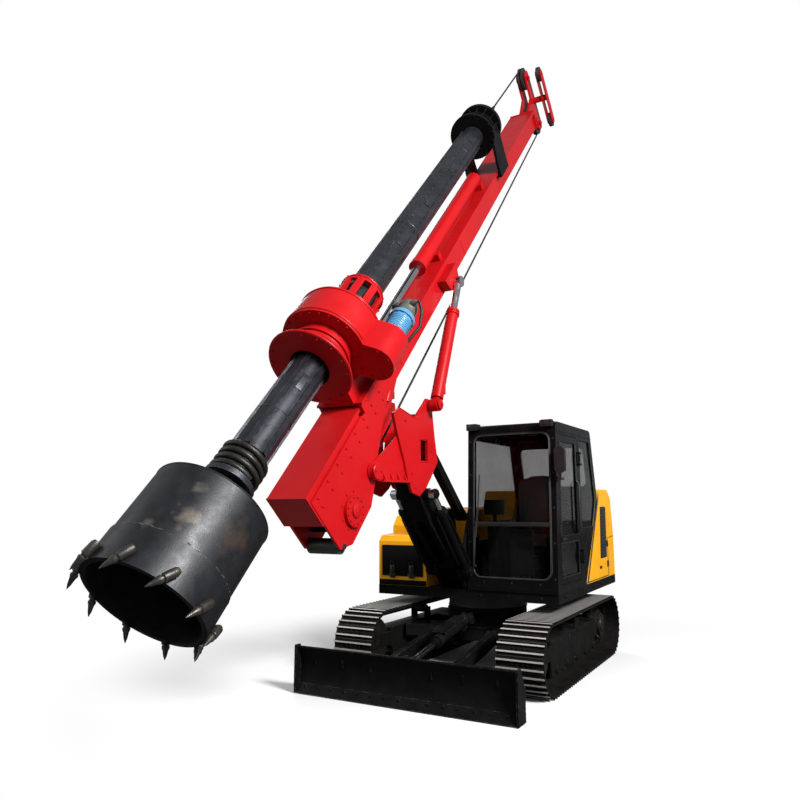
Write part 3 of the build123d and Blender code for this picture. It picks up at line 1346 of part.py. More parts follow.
# Kelly guide: collar and ribbed spool round the kelly's top, two arms with shoes on the mast rails
guide_top = kelly_high - 40
guide_low = guide_top - GUIDE_LENGTH
guide_bore = KELLY_RIB + GAP
with BuildPart() as kelly_guide:
    with BuildSketch(kelly_cut(guide_low)):
        Circle(285)
    extrude(amount=40)
    with BuildSketch(kelly_cut(guide_low + 39)):
        Circle(190)
    extrude(amount=guide_top - guide_low - 60)
    with BuildSketch(kelly_cut(guide_top - 60)):
        Circle(275)
    extrude(amount=60)
    for x in (-1, 1):
        with BuildSketch(mast_side(x * (shoe_in + 32) - 16)):
            with BuildLine():
                Polyline((guide_low - 40, -69), (guide_low - 40, 60), (guide_low + 50, KELLY_OUT - 120),
                         (guide_low + 50, KELLY_OUT), (guide_top - 40, KELLY_OUT), (guide_top - 40, KELLY_OUT - 150),
                         (guide_top - 80, 60), (guide_top - 80, -69), close=True)
            make_face()
        extrude(amount=32)
        with BuildSketch(mast_cut(guide_low - 40)):
            with Locations((x * (shoe_in + 12), rail + rail_clear + 18)):
                Rectangle(74, 24)
        extrude(amount=GUIDE_LENGTH - 40)
        with BuildSketch(mast_cut(guide_low + 60, KELLY_OUT)):
            with Locations((x * 185, 60)):
                Rectangle(90, 120)
        extrude(amount=GUIDE_LENGTH - 140)
    with BuildSketch(kelly_cut(guide_low - 1)):
        Circle(guide_bore)
    extrude(amount=guide_top - guide_low + 2, mode=Mode.SUBTRACT)
kelly_guide.part.label = "kelly_guide"
export_step(kelly_guide.part, "parts/kelly_guide.step")

# Rope swivel over the kelly's top, held by the guide
swivel_eye = kelly_high + 460
with BuildPart() as kelly_swivel:
    with BuildSketch(kelly_cut(kelly_high + GAP + 40)):
        Circle(KELLY_TUBE + 40)
    extrude(amount=60)
    with BuildSketch(kelly_cut(kelly_high + GAP + 99)):
        Circle(70)
    extrude(amount=swivel_eye - kelly_high - GAP - 99 - 40)
    with BuildSketch(mast_side(-30)):
        with Locations((swivel_eye - 30, KELLY_OUT)):
            Circle(62)
    extrude(amount=60)
    for x in (-1, 1):
        with BuildSketch(mast_side(x * (KELLY_TUBE + GAP + 14) - 14)):
            with Locations(((guide_top + kelly_high + GAP + 100) / 2 + FIT / 2, KELLY_OUT)):
                Rectangle(kelly_high + GAP + 100 - guide_top - FIT, 60)
        extrude(amount=28)
kelly_swivel.part.label = "kelly_swivel"
export_step(kelly_swivel.part, "parts/kelly_swivel.step")

# Outer kelly: tube with three pairs of drive ribs
with BuildPart() as kelly_outer:
    with BuildSketch(kelly_cut(KELLY_LOW)):
        Circle(KELLY_TUBE)
    extrude(amount=kelly_high - KELLY_LOW)
    with BuildSketch(kelly_cut(KELLY_LOW)):
        with PolarLocations(KELLY_TUBE + 2, 6):
            Rectangle(24, 40)
    extrude(amount=guide_low - KELLY_LOW - 100)
    for s in (guide_low + 40, guide_top - 140):
        with BuildSketch(kelly_cut(s)):
            Circle(guide_bore - FIT)
        extrude(amount=100)
    with BuildSketch(kelly_cut(KELLY_LOW - 1)):
        Circle(KELLY_BORE)
    extrude(amount=kelly_high - KELLY_LOW + 2, mode=Mode.SUBTRACT)
kelly_outer.part.label = "kelly_outer"
export_step(kelly_outer.part, "parts/kelly_outer.step")

# Inner kelly tube
plate_top = KELLY_LOW - SPRING_LENGTH
with BuildPart() as kelly_inner:
    with BuildSketch(kelly_cut(plate_top + FIT)):
        Circle(INNER_KELLY)
        Circle(INNER_KELLY - 26, mode=Mode.SUBTRACT)
    extrude(amount=kelly_high - 140 - plate_top)
kelly_inner.part.label = "kelly_inner"
export_step(kelly_inner.part, "parts/kelly_inner.step")

# Spring plates and square stub at the inner kelly's end
with BuildPart() as kelly_stub:
    with BuildSketch(kelly_cut(plate_top - 40)):
        Circle(185)
    extrude(amount=40)
    with BuildSketch(kelly_cut(BARREL_TOP + 30)):
        Rectangle(150, 150)
    extrude(amount=plate_top - 39 - BARREL_TOP - 30)
kelly_stub.part.label = "kelly_stub"
export_step(kelly_stub.part, "parts/kelly_stub.step")

with BuildPart() as kelly_spring:
    with BuildSketch(kelly_cut(plate_top + FIT)):
        Circle(182)
        Circle(128, mode=Mode.SUBTRACT)
    extrude(amount=KELLY_LOW - plate_top - 2 * FIT)
kelly_spring.part.label = "kelly_spring"
export_step(kelly_spring.part, "parts/kelly_spring.step")

# Core barrel: open tube with a thicker crown, a top plate and a socket for the stub
crown_radius = BARREL_RADIUS + 8
with BuildPart() as core_barrel:
    with BuildSketch(kelly_cut(BARREL_MOUTH)):
        Circle(BARREL_RADIUS)
        Circle(BARREL_RADIUS - BARREL_WALL, mode=Mode.SUBTRACT)
    extrude(amount=BARREL_TOP - BARREL_MOUTH)
    with BuildSketch(kelly_cut(BARREL_MOUTH)):
        Circle(crown_radius)
        Circle(BARREL_RADIUS - BARREL_WALL - 6, mode=Mode.SUBTRACT)
    extrude(amount=250)
    with BuildSketch(kelly_cut(BARREL_TOP - 30)):
        Circle(BARREL_RADIUS - 1)
    extrude(amount=30)
    with BuildSketch(kelly_cut(BARREL_TOP - 1)):
        Rectangle(220, 220)
        Rectangle(150 + 2 * FIT, 150 + 2 * FIT, mode=Mode.SUBTRACT)
    extrude(amount=131)
core_barrel.part.label = "core_barrel"
export_step(core_barrel.part, "parts/core_barrel.step")

# Each tooth: a round socket outside the rim and a turned bit, from start along its axis with radius and taper
with BuildPart() as bullet_teeth:
    for i in range(TOOTH_COUNT):
        around = Location((0, 0, 0), (0, 0, 360 / TOOTH_COUNT * i))
        lean = Location((crown_radius + TOOTH_SOCKET + FIT, 0, 0), (-TOOTH_LEAN, 0, 0))
        tooth = Plane(kelly_cut(BARREL_MOUTH).location * around * lean)
        for start, r, length, taper in ((12, TOOTH_SOCKET, 92, 0), (13, 20, -46, 0), (-32, 20, -66, 12)):
            with BuildSketch(tooth.offset(start)):
                Circle(r)
            extrude(amount=length, taper=taper)
bullet_teeth.part.label = "bullet_teeth"
export_step(bullet_teeth.part, "parts/bullet_teeth.step")

# Hoist rope: from the swivel over both head sheaves and down behind the mast to the winch
rope = 11
rope_on = SHEAVE_RADIUS - 12 + rope + FIT
winch_on = winch_radius + rope + FIT
drop = (WINCH_AXIS[0] - head_axis, WINCH_AXIS[1] - head_rear)
leave = atan2(drop[1], drop[0]) + acos((rope_on - winch_on) / hypot(*drop))
with BuildPart() as rope_front:
    with BuildSketch(mast_cut(swivel_eye + 40 + FIT, head_front + rope_on)):
        Circle(rope)
    extrude(amount=head_axis - swivel_eye - 40 - 2 * FIT)
rope_front.part.label = "rope_front"
export_step(rope_front.part, "parts/rope_front.step")

with BuildPart() as rope_back:
    with BuildLine(mast_side(0)) as rope_line:
        CenterArc((head_axis, head_front), rope_on, 90, -90)
        Line((head_axis + rope_on, head_front), (head_axis + rope_on, head_rear))
        CenterArc((head_axis, head_rear), rope_on, 0, degrees(leave))
        Line((head_axis + rope_on * cos(leave), head_rear + rope_on * sin(leave)),
             (WINCH_AXIS[0] + winch_on * cos(leave), WINCH_AXIS[1] + winch_on * sin(leave)))
    with BuildSketch(mast_cut(head_axis, head_front + rope_on)):
        Circle(rope)
    sweep(path=rope_line.line, transition=Transition.ROUND)
rope_back.part.label = "rope_back"
export_step(rope_back.part, "parts/rope_back.step")
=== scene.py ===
import math

import bmesh
import bpy
from mathutils import Matrix, Vector


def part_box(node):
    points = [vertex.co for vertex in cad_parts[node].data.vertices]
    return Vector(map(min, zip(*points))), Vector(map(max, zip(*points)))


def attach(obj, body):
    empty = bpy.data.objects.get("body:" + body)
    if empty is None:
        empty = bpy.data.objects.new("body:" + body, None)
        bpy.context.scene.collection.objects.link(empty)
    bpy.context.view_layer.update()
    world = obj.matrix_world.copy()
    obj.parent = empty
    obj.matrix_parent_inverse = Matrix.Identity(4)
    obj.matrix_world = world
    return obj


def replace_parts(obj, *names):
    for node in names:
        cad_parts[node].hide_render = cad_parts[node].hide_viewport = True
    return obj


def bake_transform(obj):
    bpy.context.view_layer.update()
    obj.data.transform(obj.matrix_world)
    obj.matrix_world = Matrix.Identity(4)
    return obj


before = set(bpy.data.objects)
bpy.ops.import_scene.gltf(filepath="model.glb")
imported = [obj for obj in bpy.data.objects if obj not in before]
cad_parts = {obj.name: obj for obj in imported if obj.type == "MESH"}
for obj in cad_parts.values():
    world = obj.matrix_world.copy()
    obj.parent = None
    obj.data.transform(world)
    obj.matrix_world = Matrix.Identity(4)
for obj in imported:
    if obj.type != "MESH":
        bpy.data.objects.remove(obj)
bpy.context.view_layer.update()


# Lower frame and slew ring: welded plate carbody with two legs each side, painted black, dusty near the
# ground. The ring is a bearing of bare forged steel that sits bolted on the turret under the house.
def join(owner, node, inputs):
    """Links a node's inputs, by name or number, to sockets, or sets them to values."""
    for key, value in inputs.items():
        if isinstance(value, bpy.types.NodeSocket):
            owner.node_tree.links.new(value, node.inputs[key])
        else:
            node.inputs[key].default_value = value


def add(owner, kind, *values, **settings):
    """New node for a material or world; values go to its inputs in order, or by name from one dict."""
    node = owner.node_tree.nodes.new("ShaderNode" + kind)
    for key, value in settings.items():
        setattr(node, key, value)
    join(owner, node, values[0] if values and isinstance(values[0], dict) else dict(enumerate(values)))
    return node


def noise(owner, size, detail=5.0):
    place = add(owner, "TexCoord").outputs["Object"]
    return add(owner, "TexNoise", {"Scale": size, "Detail": detail, "Vector": place}).outputs["Fac"]


def span(owner, value, low, high, to_low=0.0, to_high=1.0, **settings):
    inputs = {"Value": value, "From Min": low, "From Max": high, "To Min": to_low, "To Max": to_high}
    return add(owner, "MapRange", inputs, **settings).outputs["Result"]


def maths(owner, operation, *values):
    return add(owner, "Math", *values, operation=operation).outputs[0]


def dot(owner, a, b):
    return add(owner, "VectorMath", a, b, operation="DOT_PRODUCT").outputs["Value"]


def mix(owner, amount, a, b):
    return add(owner, "Mix", {0: amount, 6: a, 7: b}, data_type="RGBA").outputs[2]


def over(mat, key, amount, value):
    """Lays value over what feeds one of the shader's inputs."""
    socket = mat.node_tree.nodes["Principled BSDF"].inputs[key]
    mat.node_tree.links.new(mix(mat, amount, socket.links[0].from_socket, value), socket)


def finish(name, colour, rough, metal=0.0, vary=0.35, cloud=2.5, worn=None, edge=0.004, dust=0.0, grain=0.12,
           grain_size=140.0, coat=0.0, shine=0.5):
    """Procedural finish: clouded colour, chipped edges, dust on upper faces, uneven gloss and fine grain."""
    mat = bpy.data.materials.new(name)
    mat.use_nodes = True
    shade = (*(c * (1.0 - vary) for c in colour), 1.0)
    normal = add(mat, "NewGeometry").outputs["Normal"]
    bump = add(mat, "Bump", {"Strength": grain, "Distance": 0.004, "Height": noise(mat, grain_size, 3.0)})
    join(mat, mat.node_tree.nodes["Principled BSDF"], {
        "Base Color": mix(mat, span(mat, noise(mat, cloud), 0.35, 0.68), shade, (*colour, 1.0)),
        "Roughness": span(mat, noise(mat, cloud * 4.0), 0.3, 0.7, max(rough - 0.09, 0.04), rough + 0.09),
        "Metallic": metal, "Specular IOR Level": shine, "Coat Weight": coat, "Coat Roughness": 0.12,
        "Normal": bump.outputs["Normal"]})
    if dust:
        up = span(mat, add(mat, "SeparateXYZ", normal).outputs["Z"], 0.1, 0.9, 0.25, 1.0)
        settled = maths(mat, "MULTIPLY", up, span(mat, noise(mat, cloud * 3.0, 8.0), 0.38, 0.72))
        settled = maths(mat, "MULTIPLY", settled, dust)
        over(mat, "Base Color", settled, (0.3, 0.26, 0.2, 1.0))
        over(mat, "Roughness", settled, (0.85, 0.85, 0.85, 1.0))
    if worn:
        bend = dot(mat, add(mat, "Bevel", {"Radius": edge}, samples=4).outputs["Normal"], normal)
        chips = span(mat, noise(mat, 26.0, 7.0), 0.46, 0.62)
        rubbed = maths(mat, "MULTIPLY", span(mat, bend, 0.995, 0.9), chips)
        over(mat, "Base Color", rubbed, (*worn, 1.0))
        over(mat, "Roughness", rubbed, (0.42, 0.42, 0.42, 1.0))
    return mat


def dress(mat, *names):
    """Gives CAD nodes their finish."""
    for name in names:
        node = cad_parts[name]
        node.data.materials.clear()
        node.data.materials.append(mat)


def ring(centre, u, v, radius, count, start=0.0):
    """Points evenly round centre, in the plane of the unit vectors u and v."""
    turns = [start + 2 * math.pi * i / count for i in range(count)]
    return [Vector(centre) + radius * (math.cos(a) * Vector(u) + math.sin(a) * Vector(v)) for a in turns]


class Shape:
    """Solids gathered in one mesh, which then becomes a piece that rides on a body."""

    def __init__(self):
        self.bm = bmesh.new()

    def skin(self, rings, closed=False):
        """Faces from each ring of points to the next, with flat ends unless the rings close."""
        rings = [[self.bm.verts.new(p) for p in points] for points in rings]
        for a, b in zip(rings, rings[1:] + rings[:1] * closed):
            for i in range(len(a)):
                j = (i + 1) % len(a)
                self.bm.faces.new((a[i], a[j], b[j], b[i]))
        if not closed:
            self.bm.faces.new(rings[0][::-1])
            self.bm.faces.new(rings[-1])
        return self

    def prism(self, outline, depth, bevel=0.0):
        """Closed outline of points pushed out by the vector depth, its edges rounded by bevel."""
        low = [self.bm.verts.new(p) for p in outline]
        high = [self.bm.verts.new(Vector(p) + Vector(depth)) for p in outline]
        faces = [self.bm.faces.new(low[::-1]), self.bm.faces.new(high)]
        for i in range(len(low)):
            j = (i + 1) % len(low)
            faces.append(self.bm.faces.new((low[i], low[j], high[j], high[i])))
        bmesh.ops.recalc_face_normals(self.bm, faces=faces)
        if bevel:
            edges = list({e for f in faces for e in f.edges})
            bmesh.ops.bevel(self.bm, geom=edges, offset=bevel, segments=2, profile=0.6, affect="EDGES")
        return self

    def block(self, low, high, bevel=0.004):
        (x0, y0, z0), (x1, y1, z1) = low, high
        return self.prism([(x0, y0, z0), (x1, y0, z0), (x1, y1, z0), (x0, y1, z0)], (0, 0, z1 - z0), bevel)

    def turned(self, start, axis, profile, sides=24):
        """Round body: profile is a list of (distance along axis, radius)."""
        axis = Vector(axis).normalized()
        across = axis.orthogonal().normalized()
        other = axis.cross(across)
        rings = [ring(Vector(start) + axis * along, across, other, r, sides) for along, r in profile]
        return self.skin(rings)

    def bolt(self, point, axis, size=0.016):
        """Hexagon head on its washer, standing on a face at point."""
        self.turned(point, axis, ((0, size * 0.95), (size * 0.18, size * 0.95)), 16)
        head = Vector(point) + Vector(axis).normalized() * size * 0.18
        hexagon = ((0, size * 0.8), (size * 0.5, size * 0.8), (size * 0.62, size * 0.62))
        return self.turned(head, axis, hexagon, 6)

    def bolts(self, points, axis, size):
        for point in points:
            self.bolt(point, axis, size)

    def tube(self, points, radius, sides=10, closed=False):
        """Round bar, hose or weld bead along points."""
        points = [Vector(p) for p in points]
        count = len(points)
        normal = None
        rings = []
        for i, p in enumerate(points):
            before = points[(i - 1) % count] if closed or i else p
            after = points[(i + 1) % count] if closed or i < count - 1 else p
            line = (after - before).normalized()
            normal = line.orthogonal() if normal is None else normal - line * normal.dot(line)
            normal.normalize()
            rings.append(ring(p, normal, line.cross(normal), radius, sides))
        return self.skin(rings, closed)

    def hoop(self, centre, axis, radius, thick, sides=40, section=8):
        """Closed ring of round bar."""
        axis = Vector(axis).normalized()
        across = axis.orthogonal().normalized()
        return self.tube(ring(centre, across, axis.cross(across), radius, sides), thick, section, closed=True)

    def done(self, name, body, slot, mat, smooth=38):
        bmesh.ops.recalc_face_normals(self.bm, faces=self.bm.faces)
        mesh = bpy.data.meshes.new(name)
        self.bm.to_mesh(mesh)
        self.bm.free()
        for face in mesh.polygons:
            face.use_smooth = True
        mesh.set_sharp_from_angle(angle=math.radians(smooth))
        mesh.materials.append(mat)
        piece = bpy.data.objects.new(name, mesh)
        bpy.context.scene.collection.objects.link(piece)
        if body:
            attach(piece, body)
        return piece


black = finish("black_paint", (0.0055, 0.0055, 0.006), 0.36, vary=0.3, worn=(0.05, 0.048, 0.045), dust=0.02,
               shine=0.05)
low_black = finish("low_black_paint", (0.006, 0.006, 0.006), 0.48, vary=0.3, worn=(0.07, 0.065, 0.06),
                   dust=0.04, grain=0.3, shine=0.05)
iron = finish("grey_iron", (0.09, 0.087, 0.085), 0.46, metal=0.85, worn=(0.4, 0.39, 0.38), dust=0.08,
              grain=0.25)
dress(low_black, "lower_frame")
dress(iron, "slew_ring")
turret = 0.43
beam_x = 0.885
skirt_out = 0.981
roller_z = 0.168
frame_bolts = Shape()
for side in (-1, 1):
    for y in (-0.66, -0.33, 0.0, 0.33, 0.66):
        cap = ((0, 0.034), (0.012, 0.034), (0.016, 0.026))
        frame_bolts.turned((side * skirt_out, y, roller_z), (side, 0, 0), cap)
        for dy in (-0.055, 0.055):
            frame_bolts.bolt((side * skirt_out, y + dy, roller_z), (side, 0, 0), 0.013)
    for y in (-0.5, -0.2, 0.1, 0.4):
        frame_bolts.bolt((side * skirt_out, y, 0.405), (side, 0, 0), 0.013)
frame_bolts.done("track_frame_bolts", "undercarriage", "frame_black", low_black)
seams = Shape()
seams.hoop((0, 0, 0.442), (0, 0, 1), turret + 0.004, 0.008, 56)
seams.hoop((0, 0, 0.64), (0, 0, 1), turret + 0.002, 0.006, 56)
seams.done("turret_welds", "undercarriage", "frame_black", low_black)

# Tracks: steel shoes with two bars each, bolted to link rails, dark with packed soil and ground bright
# on the bars. Each shoe takes four bolts, and soil lines mark the joint between two shoes.
track_steel = finish("track_steel", (0.012, 0.0115, 0.011), 0.5, metal=0.3, vary=0.45, cloud=6.0, dust=0.03,
                     grain=0.5, shine=0.06, grain_size=60.0)
wheel_y = 1.075
axle_z = 0.335
plate_r = 0.313
tip_from, tip_full = 0.331, 0.3345
# The bars' tips, which lie furthest from the loop's middle line, are bare bright steel.
axes = add(track_steel, "SeparateXYZ", add(track_steel, "TexCoord").outputs["Object"]).outputs
past = maths(track_steel, "SUBTRACT", maths(track_steel, "ABSOLUTE", axes["Y"]), wheel_y)
legs = (maths(track_steel, "MAXIMUM", past, 0.0), maths(track_steel, "SUBTRACT", axes["Z"], axle_z))
reach = maths(track_steel, "ADD", *(maths(track_steel, "MULTIPLY", leg, leg) for leg in legs))
tips = span(track_steel, maths(track_steel, "SQRT", reach), tip_from, tip_full)
over(track_steel, "Base Color", tips, (0.52, 0.5, 0.47, 1.0))
over(track_steel, "Roughness", tips, (0.36, 0.36, 0.36, 1.0))
dress(track_steel, "track_left", "track_right")
loop_length = 4 * wheel_y + 2 * math.pi * plate_r
shoe_count = 46
shoe_pitch = loop_length / shoe_count
shoe_half, groove, proud = 0.224, 0.004, 0.0015


def loop_frame(u):
    """Point on the shoe plates u along the loop, and the direction out of it, as (y, z) pairs."""
    u = (u + wheel_y) % loop_length
    turn = math.pi * plate_r
    if u < 2 * wheel_y:
        return (u - wheel_y, axle_z + plate_r), (0, 1)
    if u < 2 * wheel_y + turn:
        a = (u - 2 * wheel_y) / plate_r
        return (wheel_y + plate_r * math.sin(a), axle_z + plate_r * math.cos(a)), (math.sin(a), math.cos(a))
    if u < 4 * wheel_y + turn:
        return (wheel_y - (u - 2 * wheel_y - turn), axle_z - plate_r), (0, -1)
    a = (u - 4 * wheel_y - turn) / plate_r
    return (-wheel_y - plate_r * math.sin(a), axle_z - plate_r * math.cos(a)), (-math.sin(a), -math.cos(a))


soil = finish("packed_soil", (0.03, 0.026, 0.021), 0.9, vary=0.5, cloud=30.0, grain=0.6, grain_size=90.0)
for side, label in ((1, "left"), (-1, "right")):
    shoe_bolts = Shape()
    joints = Shape()
    for i in range(shoe_count):
        (y, z), (ny, nz) = loop_frame((i + 0.5) * shoe_pitch)
        for dx in (-0.075, -0.029, 0.029, 0.075):
            shoe_bolts.turned((side * (beam_x + dx), y, z), (0, ny, nz),
                              ((0, 0.011), (0.008, 0.011), (0.011, 0.008)), 6)
        (y, z), (ny, nz) = loop_frame(i * shoe_pitch)
        ty, tz = nz, -ny
        line = [(y + a * ty * groove + b * ny * proud, z + a * tz * groove + b * nz * proud)
                for a, b in ((-1, -1), (1, -1), (1, 1), (-1, 1))]
        joints.prism([(side * beam_x - shoe_half, *p) for p in line], (2 * shoe_half, 0, 0))
    shoe_bolts.done(f"shoe_bolts_{label}", "undercarriage", "track_steel", track_steel)
    joints.done(f"shoe_joints_{label}", "undercarriage", "track_steel", soil)

# Idlers, sprockets and rollers: cast and machined wheels, greasy and dark, bright where the links run.
# The final drives behind the sprockets carry a ring of bolts and an oil plug.
wheel_iron = finish("wheel_iron", (0.02, 0.019, 0.018), 0.44, metal=0.6, vary=0.4, worn=(0.3, 0.29, 0.28),
                    dust=0.08, grain=0.3)
dress(wheel_iron, "idlers", "sprockets", "track_rollers")
hubs = Shape()
for side in (-1, 1):
    out = (side, 0, 0)
    drive = side * (beam_x + 0.094)
    hubs.turned((drive, wheel_y, axle_z), out, ((0, 0.085), (0.012, 0.08), (0.018, 0.06)), 32)
    for x, radius, size in ((side * (beam_x + 0.06), 0.145, 0.012), (drive, 0.104, 0.01)):
        hubs.bolts(ring((x, wheel_y, axle_z), (0, 1, 0), (0, 0, 1), radius, 12), out, size)
    hubs.turned((side * (skirt_out + 0.003), -wheel_y, axle_z), out, ((0, 0.026), (0.014, 0.022)), 20)
hubs.done("wheel_hubs", "undercarriage", "track_steel", wheel_iron)

# Dozer blade with its arms and cylinder: rolled mouldboard with a bolted cutting edge, black paint chipped at
# the edges. Two arms swing it, and one cylinder under a bolted guard plate lifts it.
blade_paint = finish("blade_paint", (0.006, 0.006, 0.0065), 0.34, vary=0.35, worn=(0.09, 0.085, 0.08),
                     edge=0.006, dust=0.03, grain=0.25, shine=0.05)
chrome = finish("rod_chrome", (0.72, 0.72, 0.73), 0.16, metal=1.0, vary=0.12, grain=0.02)
dress(blade_paint, "blade", "blade_arms", "blade_cylinder_barrel")
dress(chrome, "blade_cylinder_rod")
blade_front = -2.03
blade_half = 1.115


def blade_face(z):
    """Y of the mouldboard's hollow front at height z."""
    return blade_front + 0.07 * (1 - ((z - 0.215) / 0.207) ** 2)


edge_plate = Shape()
strip = [0.01, 0.038, 0.066, 0.094]
inner = [(blade_half - 0.02, blade_face(z) - 0.001, z) for z in strip]
outer = [(blade_half - 0.02, blade_face(z) - 0.013, z) for z in reversed(strip)]
edge_plate.prism(inner + outer, (-2 * blade_half + 0.04, 0, 0))
edge_plate.done("cutting_edge", "blade_body", "frame_black", blade_paint)
edge_bolts = Shape()
bolt_z = strip[2]
bolt_head = ((0, 0.017), (0.004, 0.016), (0.007, 0.01))
for i in range(15):
    x = (i / 7 - 1) * (blade_half - 0.11)
    edge_bolts.turned((x, blade_face(bolt_z) - 0.012, bolt_z), (0, -1, 0.25), bolt_head, 16)
edge_bolts.done("cutting_edge_bolts", "blade_body", "frame_black", blade_paint)
ribs = Shape()
rib = ((0.055, 0.27), (0.168, 0.27), (0.04, 0.413))
for i in range(7):
    x = (i / 3 - 1) * (blade_half - 0.2)
    if abs(x) > 0.15:
        ribs.prism([(x - 0.008, blade_front + back, z) for back, z in rib], (0.016, 0, 0))
lip = [(x, blade_front + 0.02, 0.424) for x in (-blade_half + 0.02, blade_half - 0.02)]
ribs.tube(lip, 0.009)
ribs.done("blade_ribs", "blade_body", "frame_black", blade_paint)
foot = Vector((0, -0.56, 0.56))
eye = Vector((0, -1.83, 0.333))
stroke = (eye - foot).normalized()
lift = Vector((1, 0, 0)).cross(stroke) * -1
guard = Shape()
for t in (0.19, 0.4, 0.61):
    for x in (-0.055, 0.055):
        guard.bolt(foot + stroke * t + lift * 0.072 + Vector((x, 0, 0)), lift, 0.012)
guard.turned(foot + stroke * 0.725, stroke, ((0, 0.04), (0.012, 0.04), (0.018, 0.034)), 32)
hose = ((0.14, 0.05), (0.14, 0.085), (0.09, 0.1), (-0.02, 0.06))
guard.tube([foot + stroke * d - lift * h for d, h in hose], 0.011)
guard.done("blade_cylinder_fittings", "blade_barrel", "frame_black", black)

# House frame: a flat welded platform with a tower of two plates for boom and link, all in satin black. Pins
# are kept by round caps with two bolts each.
dress(black, "house_frame")
house_half = 1.03
boom_x = -0.1
boom_foot = (-0.55, 1.0)
link_foot = (-0.45, 1.62)


def pin_caps(shape, pin, half, radius):
    """Round keeper plates on both ends of a pin that lies across the machine."""
    for side in (-1, 1):
        face = (boom_x + side * half, pin[0], pin[1])
        shape.turned(face, (side, 0, 0), ((0, radius), (0.01, radius), (0.014, radius - 0.004)), 28)
        for dy in (-0.6, 0.6):
            shape.bolt((face[0] + side * 0.014, pin[0] + dy * radius, pin[1]), (side, 0, 0), 0.011)
    return shape


cyl_foot = (-0.76, 1.06)
tower_caps = pin_caps(pin_caps(Shape(), boom_foot, 0.157, 0.062), link_foot, 0.157, 0.05)
pin_caps(tower_caps, cyl_foot, 0.243, 0.044)
tower_caps.done("tower_pin_caps", "house", "frame_black", black)
house_welds = Shape()
for side in (-1, 1):
    for dx in (0.108, 0.147):
        x = boom_x + side * dx
        house_welds.tube([(x, -0.62, 0.868), (x, -0.08, 0.868)], 0.006, 8)
house_welds.done("tower_welds", "house", "frame_black", black)
platform_bolts = Shape()
rim_z = 0.815
for side in (-1, 1):
    edge = [(side * house_half, y, rim_z) for y in (-0.45, -0.1, 0.25, 0.6, 0.95)]
    platform_bolts.bolts(edge, (side, 0, 0), 0.012)
platform_bolts.bolts([(x, -0.65, rim_z) for x in (-0.85, -0.6, 0.2, 0.5, 0.85)], (0, -1, 0), 0.012)
platform_bolts.done("platform_bolts", "house", "frame_black", black)

# Engine hood, counterweight, tool box, tank and covers: pressed sheet doors and a cast weight in yellow gloss
# paint. The left door has a tall louvred vent, a latch and hinges; the tool box has a black door with two
# toggle latches. Behind are a second louvred door, plugs over the lifting eyes and two tail lamps.
yellow = finish("yellow_paint", (0.95, 0.43, 0.003), 0.36, vary=0.08, cloud=1.6, worn=(0.3, 0.12, 0.005),
                edge=0.003, dust=0.03, grain=0.05, shine=0.3)
rubber = finish("black_rubber", (0.006, 0.006, 0.006), 0.55, vary=0.3, cloud=9.0, grain=0.25)
plastic = finish("black_plastic", (0.007, 0.007, 0.0075), 0.45, vary=0.25, cloud=7.0, dust=0.06, grain=0.3,
                 grain_size=260.0)
dress(yellow, "engine_hood", "counterweight", "tool_box", "tank", "rear_cover")
dress(iron, "engine_block")
vent_low, vent_high = 1.1, 1.7
vent_front, vent_rear, vent_lean = 1.02, 1.28, -0.04


def vent_y(y, z):
    """The vent leans with the hood's front edge."""
    return y + vent_lean * (vent_high - z) / (vent_high - vent_low)


def slat(shape, side, x, y0, y1, z):
    """Pressed louvre that stands out of a side panel at x."""
    lip = ((0.004, -0.011), (0.013, -0.013), (0.005, 0.01))
    shape.prism([(side * (x + out), y0, z + up) for out, up in lip], (0, y1 - y0, 0))


vent = Shape()
corner = ((vent_front, vent_low), (vent_rear + 0.02, vent_low), (vent_rear, vent_high),
          (vent_front + 0.02, vent_high))
vent.prism([(house_half - 0.004, vent_y(y, z), z) for y, z in corner], (0.009, 0, 0), 0.003)
slats = 16
for i in range(slats):
    z = vent_low + 0.03 + (vent_high - vent_low - 0.06) * i / (slats - 1)
    slat(vent, 1, house_half, vent_y(vent_front + 0.03, z), vent_y(vent_rear - 0.012, z), z)
vent.done("hood_vent", "house", "trim_plastic", plastic)
hood_trim = Shape()
for radius, line in ((0.006, ((0.405, 0.872), (0.963, 1.78), (0.985, 1.86))),
                     (0.005, ((0.42, 0.88), (1.325, 0.88))),
                     (0.004, ((1.322, 0.88), (1.322, 1.325), (1.62, 1.335)))):
    hood_trim.tube([(house_half + 0.001, y, z) for y, z in line], radius, 8)
for z in (1.02, 1.26):
    hood_trim.block((house_half - 0.002, 1.27, z - 0.035), (house_half + 0.012, 1.318, z + 0.035))
hood_trim.block((house_half - 0.002, 0.93, 0.985), (house_half + 0.01, 1.01, 1.015))
hood_trim.turned((house_half + 0.009, 0.97, 1.0), (1, 0, 0), ((0, 0.012), (0.006, 0.01)), 16)
hood_trim.done("hood_seals_and_latch", "house", "trim_plastic", rubber)
box_y = -0.645
box_door = Shape()
box_door.block((-0.985, box_y - 0.012, 0.965), (-0.475, box_y + 0.004, 1.3), 0.006)
box_door.block((-1.025, box_y - 0.006, 0.868), (-0.435, box_y + 0.004, 0.925), 0.003)
box_door.done("tool_box_door", "house", "carrier_black", black)
latches = Shape()
